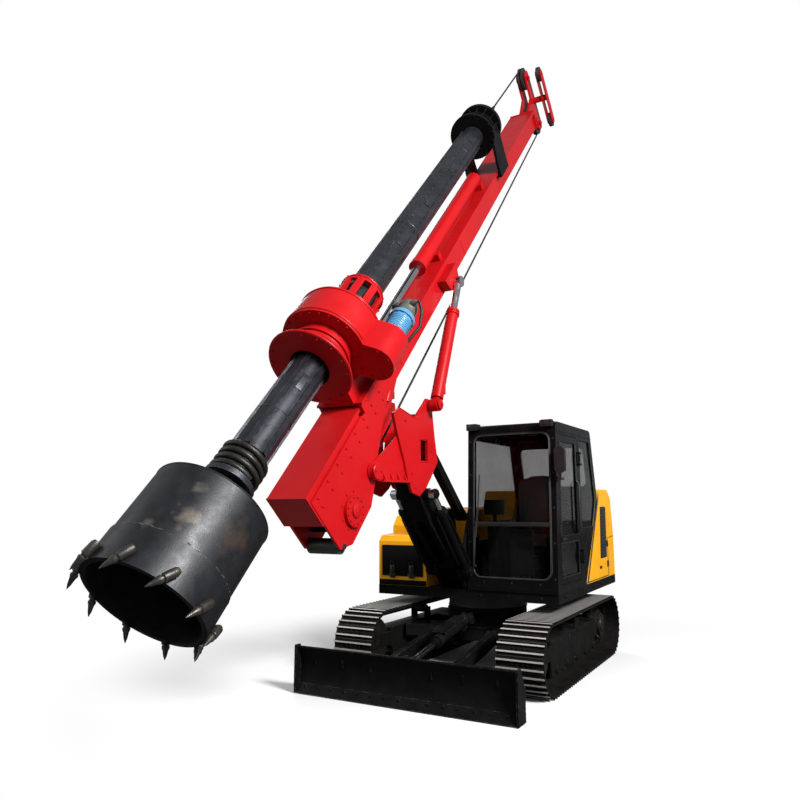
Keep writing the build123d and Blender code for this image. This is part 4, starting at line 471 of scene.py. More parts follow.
for x in (-0.85, -0.61):
    latches.block((x - 0.03, box_y - 0.022, 0.945), (x + 0.03, box_y - 0.01, 1.085), 0.004)
    latches.block((x - 0.012, box_y - 0.034, 0.985), (x + 0.012, box_y - 0.02, 1.07), 0.004)
    latches.block((x - 0.045, box_y - 0.026, 0.972), (x + 0.045, box_y - 0.016, 0.99), 0.003)
    loop = ((-0.02, 0.02, 1.085), (-0.02, 0.028, 1.12), (0.02, 0.028, 1.12), (0.02, 0.02, 1.085))
    latches.tube([(x + dx, box_y - out, z) for dx, out, z in loop], 0.004, 8)
latches.done("tool_box_latches", "house", "carrier_black", plastic)
filler = Shape()
filler.turned((-0.75, 0.05, 1.618), (0, 0.03, 1), ((0, 0.062), (0.03, 0.062), (0.036, 0.05)), 28)
grip = Vector((0.005, 0.005, 0.011))
for p in ring((-0.75, 0.051, 1.635), (1, 0, 0), (0, 1, 0), 0.062, 10):
    filler.block(p - grip, p + grip, 0.002)
filler.done("filler_cap", "house", "trim_plastic", plastic)
tail_y, tail_x = 1.7, 0.62
louvre_front, louvre_rear = 0.64, 1.21
louvres = Shape()
louvres.block((-house_half - 0.006, louvre_front, 1.03), (-house_half + 0.004, louvre_rear, 1.4), 0.003)
for i in range(11):
    slat(louvres, -1, house_half + 0.001, louvre_front + 0.03, louvre_rear - 0.03, 1.065 + i * 0.03)
for y in (-0.331, 0.521):
    louvres.tube([(-house_half, y, 0.885), (-house_half, y, 1.4)], 0.004, 8)
for y in (-0.2, 0.36, 0.6, 1.25):
    louvres.block((-house_half - 0.01, y - 0.04, 0.94), (-house_half + 0.002, y + 0.04, 0.97))
plug = ((0, 0.052), (0.008, 0.052), (0.012, 0.044), (0.006, 0.02))
tail_lamps = Shape()
for side in (-1, 1):
    louvres.turned((side * 0.3, tail_y - 0.002, 1.13), (0, 1, 0), plug, 28)
    x = side * tail_x
    louvres.block((x - 0.095, tail_y - 0.004, 1.085), (x + 0.095, tail_y + 0.008, 1.175), 0.005)
    tail_lamps.block((x - 0.08, tail_y + 0.004, 1.098), (x + 0.08, tail_y + 0.014, 1.162))
louvres.done("tail_louvres", "house", "trim_plastic", plastic)
lens_red = finish("tail_lens", (0.22, 0.003, 0.004), 0.14, vary=0.1, cloud=8.0, grain=0.02)
tail_lamps.done("tail_lamps", "house", "trim_plastic", lens_red)

# Cab shell: welded tube-and-sheet frame in black gloss with bolted glass held in rubber seals. The door hangs
# on two hinges behind it; roof lamps and a mirror on a bent bar stand off the front post.
cab_black = finish("cab_black", (0.004, 0.004, 0.0045), 0.24, vary=0.2, worn=(0.03, 0.03, 0.03), edge=0.003,
                   dust=0.01, grain=0.05, shine=0.09)
dress(cab_black, "cab_body", "cab_roof", "cab_door", "cab_floor")
glass = bpy.data.materials.new("tinted_glass")
glass.use_nodes = True
smear = noise(glass, 3.0, 6.0)
join(glass, glass.node_tree.nodes["Principled BSDF"], {
    "Transmission Weight": 1.0, "IOR": 1.15, "Roughness": span(glass, smear, 0.0, 1.0, 0.0, 0.05),
    "Base Color": span(glass, smear, 0.0, 1.0, 0.34, 0.44)})
dress(glass, "cab_glass", "door_glass")
cab_in, cab_out = 0.065, 1.033
front_low, front_top = Vector((0, -0.667, 0.905)), Vector((0, -0.574, 2.58))
cab_mid = (cab_in + cab_out) / 2
screen_up = (front_top - front_low).normalized()
screen_out = Vector((0, -screen_up.z, screen_up.y))


def rounded(width, height, radius, steps=6):
    """Corners of a rounded rectangle round the origin."""
    points = []
    for i, (sx, sy) in enumerate(((1, 1), (-1, 1), (-1, -1), (1, -1))):
        for k in range(steps + 1):
            a = math.pi / 2 * (i + k / steps)
            points.append((sx * (width / 2 - radius) + radius * math.cos(a),
                           sy * (height / 2 - radius) + radius * math.sin(a)))
    return points


def on_screen(x, up, out=0.0):
    """Point on the windscreen's outer plane."""
    return Vector((cab_mid + x, 0, 0)) + front_low + screen_up * up + screen_out * out


seal_grey = finish("seal_grey", (0.055, 0.062, 0.06), 0.45, vary=0.2, cloud=12.0, grain=0.1)
screen_line = Shape()
screen_mid = 0.83
screen_line.tube([on_screen(x, screen_mid + z, 0.001) for x, z in rounded(0.826, 1.468, 0.086)], 0.0045, 8,
                 closed=True)
screen_line.done("windscreen_seal_line", "house", "trim_plastic", seal_grey)
seals = Shape()
seals.tube([on_screen(x, screen_mid + z, -0.004) for x, z in rounded(0.84, 1.482, 0.09)], 0.01, 8,
           closed=True)
quarter = ((0.235, 1.48), (0.235, 2.44), (0.665, 2.44), (0.84, 1.78), (0.69, 1.48))
seals.tube([(cab_out - 0.004, y, z) for y, z in quarter], 0.01, 8, closed=True)
inner_wall = ((-0.52, 1.35), (-0.47, 2.44), (0.64, 2.44), (0.8, 1.78), (0.56, 1.35))
seals.tube([(cab_in + 0.006, y, z) for y, z in inner_wall], 0.01, 8, closed=True)
seals.block((cab_mid - 0.42, -0.64, 1.515), (cab_mid + 0.42, -0.6, 1.56), 0.006)
seals.done("cab_window_seals", "house", "trim_plastic", rubber)
door_seals = Shape()
for corners in (((-0.5, 1.42), (-0.455, 2.385), (0.1, 2.385), (0.1, 1.42)),
                ((-0.525, 1.01), (-0.505, 1.35), (0.1, 1.35), (0.1, 1.01))):
    door_seals.tube([(cab_out - 0.003, y, z) for y, z in corners], 0.009, 8, closed=True)
rail = ((0.002, 1.42), (0.03, 1.46), (0.03, 1.95), (0.002, 1.99))
door_seals.tube([(cab_out + out, 0.085, z) for out, z in rail], 0.01, 10)
door_seals.block((cab_out - 0.002, -0.5, 1.365), (cab_out + 0.018, -0.4, 1.405), 0.005)
pull = ((0.016, -0.49), (0.034, -0.485), (0.034, -0.415), (0.016, -0.41))
door_seals.tube([(cab_out + out, y, 1.385) for out, y in pull], 0.006, 8)
door_seals.done("door_seals_and_handle", "door", "trim_plastic", rubber)
cab_bolts = Shape()
for x in (-0.455, 0.455):
    for up in (0.1, 0.45, 0.8, 1.15, 1.5):
        cab_bolts.bolt(on_screen(x, up), screen_out, 0.011)
for x in (-0.3, 0.0, 0.3):
    cab_bolts.bolt(on_screen(x, 0.045), screen_out, 0.011)
for z in (1.126, 1.25, 2.176, 2.3):
    cab_bolts.bolt((cab_out + 0.028, 0.222, z), (1, 0, 0), 0.008)
cab_bolts.done("cab_frame_bolts", "house", "carrier_black", plastic)
wiper = Shape()
wiper.turned(on_screen(-0.4, 0.2, 0.0), screen_out, ((0, 0.02), (0.03, 0.016)), 16)
arm = ((-0.4, 0.2, 0.028), (-0.385, 0.55, 0.026), (-0.37, 0.8, 0.014))
wiper.tube([on_screen(*p) for p in arm], 0.006, 8)
wiper.tube([on_screen(-0.385, 0.5, 0.006), on_screen(-0.35, 1.15, 0.006)], 0.007, 8)
wiper.done("windscreen_wiper", "house", "trim_plastic", plastic)
roof = Shape()
for x in (0.25, 0.45, 0.65, 0.85):
    roof.block((x - 0.035, -0.35, 2.576), (x + 0.035, 0.55, 2.59), 0.006)
gutter_z = 2.487
corner = (cab_out + 0.001, -0.56, gutter_z)
roof.tube([(cab_in + 0.002, -0.56, gutter_z), corner], 0.004, 8)
roof.tube([corner, (cab_out + 0.001, 0.73, gutter_z)], 0.004, 8)
roof.done("roof_ribs", "house", "carrier_black", cab_black)
dress(plastic, "work_lamps", "mirror")
lens = finish("lamp_lens", (0.03, 0.031, 0.032), 0.1, metal=0.3, vary=0.3, cloud=30.0, grain=0.2)
lamp_parts, lamp_trim = Shape(), Shape()
(_, lamp_front, lamp_low), (_, _, lamp_high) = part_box("work_lamps")
for x in (cab_in + 0.09, cab_out - 0.09):
    lamp_parts.block((x - 0.046, lamp_front - 0.006, lamp_low + 0.014),
                     (x + 0.046, lamp_front + 0.003, lamp_high - 0.01))
    for i in range(5):
        y = lamp_front + 0.02 + i * 0.012
        lamp_trim.block((x - 0.058, y, lamp_low + 0.008), (x + 0.058, y + 0.005, lamp_high - 0.004), 0.001)
lamp_parts.done("lamp_lenses", "house", "lamp_plastic", lens)
lamp_trim.done("lamp_fins", "house", "trim_plastic", plastic)
mirror_glass = Shape()
outline = rounded(0.09, 0.24, 0.034)
mirror_glass.prism([(1.093 + x, -0.598, 2.18 + z) for x, z in outline], (0, -0.003, 0))
mirror_glass.done("mirror_glass", "house", "lamp_plastic", chrome)

# Seat and controls: foam cushions under black woven cloth on a sheet-metal base with a rubber bellows,
# between two moulded consoles with levers; travel pedals stand on the front pedestal and a monitor beside it.
cloth = finish("seat_cloth", (0.03, 0.031, 0.034), 0.85, vary=0.3, cloud=14.0, grain=0.5, grain_size=420.0)
floor_z = 0.95


def cushion(name, middle, half, lean, channels):
    """Crowned foam block: a cube drawn towards a sphere, its long seams pressed in, leaned about X."""
    shape = Shape()
    bm = shape.bm
    bmesh.ops.create_cube(bm, size=2.0)
    bmesh.ops.subdivide_edges(bm, edges=bm.edges[:], cuts=17, use_grid_fill=True)
    turn = Matrix.Rotation(lean, 3, "X")
    for v in bm.verts:
        x, y, z = v.co
        ball = Vector((x * math.sqrt(1 - y * y / 2 - z * z / 2 + y * y * z * z / 3),
                       y * math.sqrt(1 - z * z / 2 - x * x / 2 + z * z * x * x / 3),
                       z * math.sqrt(1 - x * x / 2 - y * y / 2 + x * x * y * y / 3)))
        p = v.co.lerp(ball, 0.38)
        press = sum(math.exp(-((x - c) / 0.07) ** 2) for c in channels) * max(z, 0) * 0.16
        p = Vector((p.x * half[0], p.y * half[1], (p.z - press) * half[2]))
        v.co = turn @ p + Vector(middle)
    piece = shape.done(name, "house", "seat_cloth", cloth, 80)
    return piece


seat_pad = cushion("seat_cushion", (cab_mid, 0.02, floor_z + 0.385), (0.245, 0.235, 0.065), 0.05,
                   (-0.55, 0.55))
cushion("seat_back", (cab_mid, 0.275, floor_z + 0.76), (0.24, 0.335, 0.06), math.radians(96), (-0.5, 0.5))
cushion("seat_headrest", (cab_mid, 0.315, floor_z + 1.035), (0.13, 0.075, 0.045), math.radians(96), ())
seat_base = Shape()
seat_base.block((cab_mid - 0.19, -0.13, floor_z), (cab_mid + 0.19, 0.25, floor_z + 0.06), 0.008)
for i in range(5):
    z = floor_z + 0.065 + i * 0.045
    seat_base.block((cab_mid - 0.17, -0.11, z), (cab_mid + 0.17, 0.23, z + 0.036), 0.012)
seat_base.block((cab_mid - 0.21, -0.17, floor_z + 0.285), (cab_mid + 0.21, 0.28, floor_z + 0.325), 0.008)
seat_base.done("seat_base", "house", "trim_plastic", rubber)
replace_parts(seat_pad, "seat")
dress(plastic, "controls")
consoles = (cab_in + 0.125, cab_out - 0.135)
lever_y = -0.2
cab_gear = Shape()
for x in consoles:
    for i in range(4):
        bellows = ((0, 0.055 - 0.008 * i), (0.016, 0.048 - 0.008 * i))
        cab_gear.turned((x, lever_y, floor_z + 0.56 + i * 0.018), (0, 0, 1), bellows, 20)
    grip = ((0, 0.024), (0.03, 0.027), (0.07, 0.024), (0.11, 0.03), (0.14, 0.03), (0.155, 0.018))
    cab_gear.turned((x, lever_y, floor_z + 0.68), (0.06, -0.12, 1), grip, 20)
for x in (cab_mid - 0.06, cab_mid + 0.06):
    cab_gear.tube([(x, y, floor_z + z) for y, z in ((-0.335, 0.5), (-0.36, 0.62), (-0.33, 0.7))], 0.012)
    cab_gear.turned((x, -0.33, floor_z + 0.69), (0, 0.1, 1), ((0, 0.016), (0.03, 0.024), (0.06, 0.014)), 16)
    cab_gear.block((x - 0.045, -0.52, floor_z + 0.02), (x + 0.045, -0.37, floor_z + 0.045), 0.006)
cab_gear.block((cab_in + 0.1, -0.43, floor_z + 0.68), (cab_in + 0.33, -0.39, floor_z + 0.84), 0.01)
stalk = ((0.21, -0.4, 0.7), (0.19, -0.33, 0.58), (0.14, -0.25, 0.54))
cab_gear.tube([(cab_in + x, y, floor_z + z) for x, y, z in stalk], 0.014)
cab_gear.done("levers_pedals_monitor", "house", "trim_plastic", plastic)
screen = Shape()
screen.block((cab_in + 0.115, -0.391, floor_z + 0.695), (cab_in + 0.315, -0.387, floor_z + 0.825), 0.001)
screen.done("monitor_screen", "house", "lamp_plastic", lens)
for label, x in zip(("right", "left"), consoles):
    cushion(f"armrest_{label}", (x, 0.07, floor_z + 0.59), (0.05, 0.13, 0.028), 0.0, ())

# Boom, its two cylinders and the support link: two welded plate arms in black, joined at both ends and lifted
# by two black cylinders beside them. The link above keeps the bracket level; it is a plain box beam.
boom_tip = (-1.62, 1.95)
boom_eye = (-1.5, 1.844)
red = finish("red_paint", (0.47, 0.0045, 0.007), 0.36, vary=0.12, cloud=1.4, worn=(0.2, 0.015, 0.012),
             edge=0.003, dust=0.02, grain=0.05, coat=0.06, shine=0.2)
dress(black, "boom", "boom_cylinder_barrels", "support_link")
dress(chrome, "boom_cylinder_rods")
reach = Vector((0, boom_tip[0] - boom_foot[0], boom_tip[1] - boom_foot[1]))
beam_up = Vector((0, -reach.z, reach.y)).normalized() * -1
beam_dir = reach.normalized()
boom_start = Vector((boom_x, *boom_foot))
boom_pipes = Shape()
route = ((0.1, 0.098), (0.26, 0.128), (0.62, 0.128), (0.98, 0.126), (1.06, 0.118))
for x in (-0.055, -0.02, 0.015, 0.05):
    start = boom_start + Vector((x, 0, 0))
    boom_pipes.tube([start + beam_dir * d + beam_up * h for d, h in route], 0.013, 10)
boom_pipes.done("boom_hoses", "boom_arm", "trim_plastic", rubber)
boom_trim = Shape()
clamp = ((-0.08, 0), (0.075, 0), (0.075, 0.034), (-0.08, 0.034))
for d in (0.3, 0.62, 0.94):
    at = boom_start + beam_dir * d + beam_up * 0.112
    boom_trim.prism([at + Vector((x, 0, 0)) + beam_up * h for x, h in clamp], beam_dir * 0.03, 0.003)
    for x in (-0.072, 0.067):
        boom_trim.bolt(at + beam_dir * 0.015 + beam_up * 0.034 + Vector((x, 0, 0)), beam_up, 0.009)
for side in (-1, 1):
    x = boom_x + side * 0.1055
    for h in (-0.128, 0.108):
        boom_trim.tube([Vector((x, *boom_foot)) + beam_dir * d + beam_up * h for d in (0.26, 1.01)], 0.004, 8)
pin_caps(boom_trim, boom_eye, 0.2375, 0.044)
boom_trim.done("boom_clamps_and_welds", "boom_arm", "carrier_black", black)
ram_start = Vector((0, *cyl_foot))
cyl_dir = (Vector((0, *boom_eye)) - ram_start).normalized()
glands = Shape()
for side in (-1, 1):
    at = ram_start + Vector((boom_x + side * 0.207, 0, 0))
    out = Vector((side, 0, 0))
    glands.turned(at + cyl_dir * 0.872, cyl_dir, ((0, 0.046), (0.01, 0.046), (0.016, 0.036)), 32)
    for d in (0.832, 0.85):
        glands.hoop(at + cyl_dir * d, cyl_dir, 0.0565, 0.004, 36)
    glands.turned(at + cyl_dir * 0.13 + out * 0.045, out, ((0, 0.018), (0.022, 0.018), (0.028, 0.012)), 6)
    pipe = ((0.13, 0.06), (0.16, 0.07), (0.72, 0.066), (0.8, 0.05))
    glands.tube([at + cyl_dir * d + out * h for d, h in pipe], 0.009)
glands.done("boom_cylinder_glands", "boom_barrels", "carrier_black", black)

# Mast bracket and mast cylinders: red plate bracket with a cross box, carrying the mast's hinge in front and
# the feet of the two mast cylinders on top. Ribs stiffen the plates' lower edge; rods are chromed.
dress(red, "mast_bracket", "mast_cylinder_barrels")
dress(chrome, "mast_cylinder_rods")
mast_angle = math.radians(46.6)
mast_dir = Vector((0, math.cos(mast_angle), math.sin(mast_angle)))
mast_out = Vector((0, -mast_dir.z, mast_dir.y))


def mast(x, s, n):
    """Point s along the mast from its foot, n out of its front face and x beside its middle."""
    return Vector((boom_x + x, -3.453, 1.806)) + mast_dir * s + mast_out * n


hinge_point = mast(0, 0.775, -0.502)
hinge = (hinge_point.y, hinge_point.z)
ram_foot = Vector((boom_x, -1.59, 2.69))
bracket_trim = Shape()
pin_caps(bracket_trim, hinge, 0.23, 0.07)
pin_caps(bracket_trim, boom_tip, 0.15, 0.054)
for side in (-1, 1):
    x = boom_x + side * 0.193
    for y in (-2.4, -2.28, -2.16, -2.04):
        rib = ((0, 1.96), (0.034, 1.96), (0, 2.03))
        bracket_trim.prism([(x + side * out, y - 0.007, z) for out, z in rib], (0, 0.014, 0))
    x = boom_x + side * 0.216
    rim = ((-2.255, 2.54), (-2.141, 2.6), (-1.862, 2.538), (-1.672, 2.705))
    bracket_trim.tube([(x, y, z) for y, z in rim], 0.005, 8)
    frame_line = ((-1.775, 2.353), (-1.615, 2.353), (-1.615, 2.14), (-1.775, 2.14))
    bracket_trim.tube([(x, y, z) for y, z in frame_line], 0.005, 8, closed=True)
    for y, z in ((-2.05, 2.5), (-1.93, 2.03), (-1.55, 2.25), (-1.86, 1.9)):
        bracket_trim.bolt((x, y, z), (side, 0, 0), 0.014)
    eye = ram_foot + Vector((side * 0.338, 0, 0))
    bracket_trim.turned(eye, (side, 0, 0), ((0, 0.05), (0.01, 0.05), (0.014, 0.044)), 24)
    bracket_trim.bolt(eye + Vector((side * 0.014, 0, 0)), (side, 0, 0), 0.014)
bracket_trim.done("bracket_ribs_and_caps", "bracket", "rig_red", red)
ram_dir = (mast(0, 3.31, -0.215) - ram_foot).normalized()
ram_back = Vector((0, ram_dir.z, -ram_dir.y))
rams = Shape()
ram_hoses = Shape()
for side in (-1, 1):
    at = ram_foot + Vector((side * 0.29, 0, 0))
    rams.turned(at + ram_dir * 1.11, ram_dir, ((0, 0.058), (0.012, 0.058), (0.018, 0.047)), 36)
    for d in (1.052, 1.08):
        rams.hoop(at + ram_dir * d, ram_dir, 0.0685, 0.004, 40)
    port = at + ram_dir * 0.16
    rams.block(port + Vector((-0.03, 0.045, -0.03)), port + Vector((0.03, 0.105, 0.05)), 0.006)
    pipe = ((0.2, 0.085), (0.3, 0.08), (0.65, 0.076), (1.0, 0.076), (1.06, 0.06))
    ram_hoses.tube([at + ram_dir * d + ram_back * h for d, h in pipe], 0.01)
rams.done("mast_cylinder_glands", "mast_barrels", "rig_red", red)
ram_hoses.done("mast_cylinder_pipes", "mast_barrels", "trim_plastic", rubber)

# Mast: a long welded box with guide rails on its front edges, gloss red. At its foot two plates carry the
# hinge, the hoist winch with its bolted drive flange, and a roller.
dress(red, "mast_body", "mast_foot", "winch_drum")
dress(iron, "foot_roller")
winch_s, winch_n = 0.35, -0.52
mast_bolts = Shape()
for side in (-1, 1):
    out = (side, 0, 0)
    face, flange = side * 0.1743, mast(side * 0.2049, winch_s, winch_n)
    mast_bolts.bolts(ring(flange, mast_dir, mast_out, 0.108, 12), out, 0.011)
    mast_bolts.turned(flange, out, ((0, 0.055), (0.012, 0.055), (0.018, 0.045)), 28)
    for n in (-0.115, -0.205):
        mast_bolts.bolts([mast(face, 0.1 + 0.18 * i, n) for i in range(8)], out, 0.013)
    mast_bolts.bolts(ring(mast(face, winch_s, winch_n), mast_dir, mast_out, 0.155, 9), out, 0.01)
mast_bolts.done("mast_bolts", "mast", "rig_red", red)
foot_web = Shape()
web_half = 0.149
for outline in (((0.15, -0.262), (0.15, -0.34), (0.19, -0.352), (0.19, -0.262)),
                ((0.15, -0.34), (0.158, -0.34), (0.158, -0.55), (0.15, -0.55))):
    foot_web.prism([mast(-web_half, s, n) for s, n in outline], (2 * web_half, 0, 0))
foot_web.done("mast_foot_web", "mast", "carrier_black", black)
mast_welds = Shape()
for side in (-1, 1):
    mast_welds.tube([mast(side * 0.151, s, -0.0352) for s in (0.0, 3.9, 7.87)], 0.005, 8)
    mast_welds.tube([mast(side * 0.149, s, -0.2495) for s in (1.46, 4.6, 7.87)], 0.004, 8)
belt = ((-0.1505, -0.036), (-0.1505, -0.2505), (0.1505, -0.2505), (0.1505, -0.036))
for s in (1.9, 4.0, 5.95):
    mast_welds.tube([mast(x, s, n) for x, n in belt], 0.004, 8)
mast_welds.done("mast_welds", "mast", "rig_red", red)
rope_mat = finish("wire_rope", (0.05, 0.05, 0.05), 0.5, metal=0.7, vary=0.5, cloud=40.0, grain=0.3)
wraps = Shape()
steps, turns, wrap_r = 22, 10, 0.121
path = []
for i in range(turns * steps + 1):
    a = 2 * math.pi * i / steps
    x = -0.12 + 0.24 * i / (turns * steps)
    path.append(mast(x, winch_s + wrap_r * math.cos(a), winch_n + wrap_r * math.sin(a)))
wraps.tube(path, 0.0105, 8)
wraps.done("rope_wraps", "mast", "rope_steel", rope_mat)

# Mast head, sheaves and hoist rope: two head plates with pins, cast sheaves, and an auxiliary pair beside
# them. The stranded wire rope runs from the swivel over the head and down behind the mast; its front fall,
# which runs out and in over the sheave as the kelly is hoisted, is drawn as one straight fixed length.
dress(red, "mast_head")
dress(iron, "sheaves")
dress(rope_mat, "rope_back")
lay = add(rope_mat, "TexWave", {"Scale": 26.0, "Vector": add(rope_mat, "TexCoord").outputs["Object"]},
          bands_direction="DIAGONAL")
join(rope_mat, rope_mat.node_tree.nodes["Bump"], {"Height": lay.outputs["Fac"], "Strength": 0.8})
head_s = 8.42
rope_low = 6.64
rope_n = 0.5025
rope_parts = 40
fall = Shape()
fall.tube([mast(0, rope_low + (head_s - rope_low) * i / rope_parts, rope_n) for i in range(rope_parts + 1)],
          0.011, 14)
fall = fall.done("front_fall", None, "rope_steel", rope_mat)
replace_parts(fall, "rope_front")
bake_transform(fall)
head_bolts = Shape()
deck_s = 7.905
for n in (0.353, -0.347):
    for side in (-1, 1):
        cap = ((0, 0.04), (0.01, 0.04), (0.014, 0.034))
        head_bolts.turned(mast(side * 0.084, head_s, n), (side, 0, 0), cap, 24)
        head_bolts.bolt(mast(side * 0.098, head_s, n), (side, 0, 0), 0.013)
for x in (-0.15, -0.05, 0.05, 0.15):
    for n in (-0.005, -0.245):
        head_bolts.bolt(mast(x, deck_s - 0.0005, n), mast_dir, 0.014)
gusset = ((deck_s, -0.03), (deck_s, -0.23), (8.04, -0.13))
for side in (-1, 1):
    head_bolts.prism([mast(side * 0.086 - 0.006, s, n) for s, n in gusset], (0.012, 0, 0))
head_bolts.done("head_pins_and_bolts", "mast", "rig_red", red)

# Crowd cylinder and power head: a gear case of welded plate in red, ribbed below, sliding on the mast's rails
# and pushed by the crowd cylinder. A blue planetary reducer with a grey motor stands on its lobe.
dress(red, "crowd_barrel", "power_head")
dress(chrome, "crowd_rod")
blue = finish("reducer_blue", (0.078, 0.275, 0.48), 0.36, vary=0.18, cloud=6.0, worn=(0.22, 0.26, 0.28),
              dust=0.05, grain=0.1, coat=0.3)
olive = finish("motor_grey", (0.17, 0.17, 0.145), 0.5, metal=0.5, vary=0.3, cloud=8.0,
               worn=(0.32, 0.31, 0.28), grain=0.35)
dress(blue, "drive_motor")
kelly_n = 0.503
head_low, case_low, case_top = 0.91, 1.18, 1.53
motor_x, motor_n = 0.39, 0.29


def kelly(r, angle, s):
    """Point at radius r and angle round the kelly's axis, s along the mast."""
    return mast(r * math.cos(angle), s, kelly_n + r * math.sin(angle))


def spread(count, start=0.0):
    return [start + 2 * math.pi * i / count for i in range(count)]


def beside(a):
    """Direction round the kelly at angle a."""
    return mast_dir.cross((kelly(1, a, 0) - kelly(0, a, 0)).normalized())


def fin(shape, a, half, outline):
    """Flat plate standing out of the kelly's axis at angle a; outline is a list of (radius, s)."""
    shape.prism([kelly(r, a, s) - beside(a) * half for r, s in outline], beside(a) * half * 2)


def at_motor(x, s, n):
    """Point beside, above and in front of the reducer's foot."""
    return mast(motor_x + x, case_top + s, motor_n + n)


case_bolts = Shape()
for a in spread(26):
    if not -1.3 < ((a + math.pi) % (2 * math.pi)) - math.pi < 0.25:
        case_bolts.bolt(kelly(0.345, a, case_low), -mast_dir, 0.013)
        case_bolts.bolt(kelly(0.345, a, case_top), mast_dir, 0.013)
case_bolts.bolts(ring(mast(motor_x, case_low, motor_n), (1, 0, 0), mast_out, 0.14, 8, 0.2), -mast_dir, 0.012)
for a in spread(16, 0.1):
    case_bolts.bolt(kelly(0.243, a, case_top + 0.044), mast_dir, 0.007)
    case_bolts.bolt(kelly(0.322, a, head_low), -mast_dir, 0.012)
case_bolts.done("power_head_bolts", "head", "rig_red", red)
case_trim = Shape()
for s in (case_low + 0.03, case_top - 0.022):
    case_trim.tube([kelly(0.372, math.pi * (0.01 + 1.22 * i / 40), s) for i in range(41)], 0.006, 8)
for s in (head_low + 0.1075, head_low + 0.1615):
    case_trim.hoop(kelly(0, 0, s), mast_dir, 0.246, 0.009, 56)
case_trim.hoop(kelly(0, 0, head_low + 0.013), mast_dir, 0.35, 0.012, 64)
for side in (-1, 1):
    for s in (1.08, 1.24, 1.4):
        case_trim.bolt(mast(side * 0.2123, s, 0.02), (side, 0, 0), 0.014)
case_trim.done("power_head_ribs", "head", "rig_red", red)
motor = Shape()
for s, radius, axis, size in ((0.06, 0.111, mast_dir, 0.009), (0.27, 0.109, -mast_dir, 0.008)):
    motor.bolts(ring(at_motor(0, s, 0), (1, 0, 0), mast_out, radius, 14), axis, size)
for i in range(7):
    motor.hoop(at_motor(0, 0.09 + 0.024 * i, 0), mast_dir, 0.1025, 0.005, 40)
motor.done("reducer_rings", "head", "reducer_blue", blue)
motor_top, motor_hoses = Shape(), Shape()
housing = ((0, 0.084), (0.05, 0.084), (0.06, 0.08), (0.13, 0.08), (0.14, 0.086), (0.185, 0.086),
           (0.198, 0.064))
motor_top.turned(at_motor(0, 0.309, 0), mast_dir, housing, 36)
for side in (-1, 1):
    port = ((0, 0.026), (0.035, 0.026), (0.035, 0.02), (0.05, 0.02))
    motor_top.turned(at_motor(side * 0.06, 0.455, 0.05), (side, 0, 0.2), port, 12)
    start = at_motor(side * 0.1, 0.455, 0.05)
    run = ((side * 0.145, 0.42, -0.02), (side * 0.14, 0.3, -0.1), (side * 0.1 - 0.06, 0.12, -0.15),
           (-0.12, 0.03, -0.16), (-0.13, -0.01, -0.15))
    elbow = start + Vector((side * 0.03, 0, 0)) + mast_dir * 0.02
    motor_hoses.tube([start, elbow] + [at_motor(*p) for p in run], 0.014, 12)
motor_top.done("motor_housing", "head", "grey_iron", olive)
motor_hoses.done("motor_hoses", "head", "trim_plastic", rubber)

# Drive sleeve: the red lantern on top of the gear case; its ribs push on the kelly's own ribs. It turns with
# the kelly, so its rings and gussets are welded to it and stay clear of the case.
dress(red, "drive_sleeve")
sleeve_low, sleeve_top = 1.5743, 2.0203
sleeve = Shape()
for s in (sleeve_low + 0.15, sleeve_top - 0.02):
    sleeve.hoop(kelly(0, 0, s), mast_dir, 0.201, 0.007, 48)
gusset = ((0.198, sleeve_low + 0.031), (0.229, sleeve_low + 0.031), (0.206, sleeve_low + 0.14),
          (0.206, sleeve_top - 0.07), (0.218, sleeve_top - 0.03), (0.198, sleeve_top - 0.03))
for a in spread(9, math.pi / 9):
    fin(sleeve, a, 0.007, gusset)
sleeve.done("sleeve_ribs", "sleeve", "rig_red", red)

# Kelly guide and rope swivel: black welded spool round the kelly's top, held to the mast's rails by two arms.
# The swivel above it lets the kelly turn under the rope and ends in a clevis with a pin.
dress(black, "kelly_guide", "kelly_swivel")
guide = Shape()
spoke_low, spoke_top = 5.739, 6.041
spoke = ((0.188, spoke_low), (0.27, spoke_low), (0.236, 5.8), (0.236, 5.98), (0.258, spoke_top),
         (0.188, spoke_top))
for a in spread(14):
    if math.sin(a) > -0.35:
        fin(guide, a, 0.006, spoke)
for a in spread(16):
    guide.bolt(kelly(0.266, a, 5.7), -mast_dir, 0.011)
    guide.bolt(kelly(0.256, a, 6.1), mast_dir, 0.01)
guide.hoop(kelly(0, 0, 5.89), mast_dir, 0.236, 0.008, 48)
guide.done("guide_ribs", "guide", "carrier_black", black)
swivel = Shape()
spool = ((0, 0.155), (0.02, 0.155), (0.03, 0.11), (0.09, 0.1), (0.1, 0.078), (0.16, 0.078), (0.17, 0.072))
swivel.turned(mast(0, 6.245, kelly_n), mast_dir, spool, 36)
for s in (6.44, 6.48, 6.52):
    swivel.hoop(mast(0, s, kelly_n), mast_dir, 0.0705, 0.006, 36)
for side in (-1, 1):
    pin = ((0, 0.034), (0.014, 0.034), (0.018, 0.028))
    swivel.turned(mast(side * 0.03, 6.57, kelly_n), (side, 0, 0), pin, 20)
swivel.turned(mast(0, 6.63, kelly_n), mast_dir, ((0, 0.02), (0.05, 0.026), (0.16, 0.018), (0.17, 0.0125)), 20)
swivel.done("swivel_parts", "guide", "grey_iron", iron)

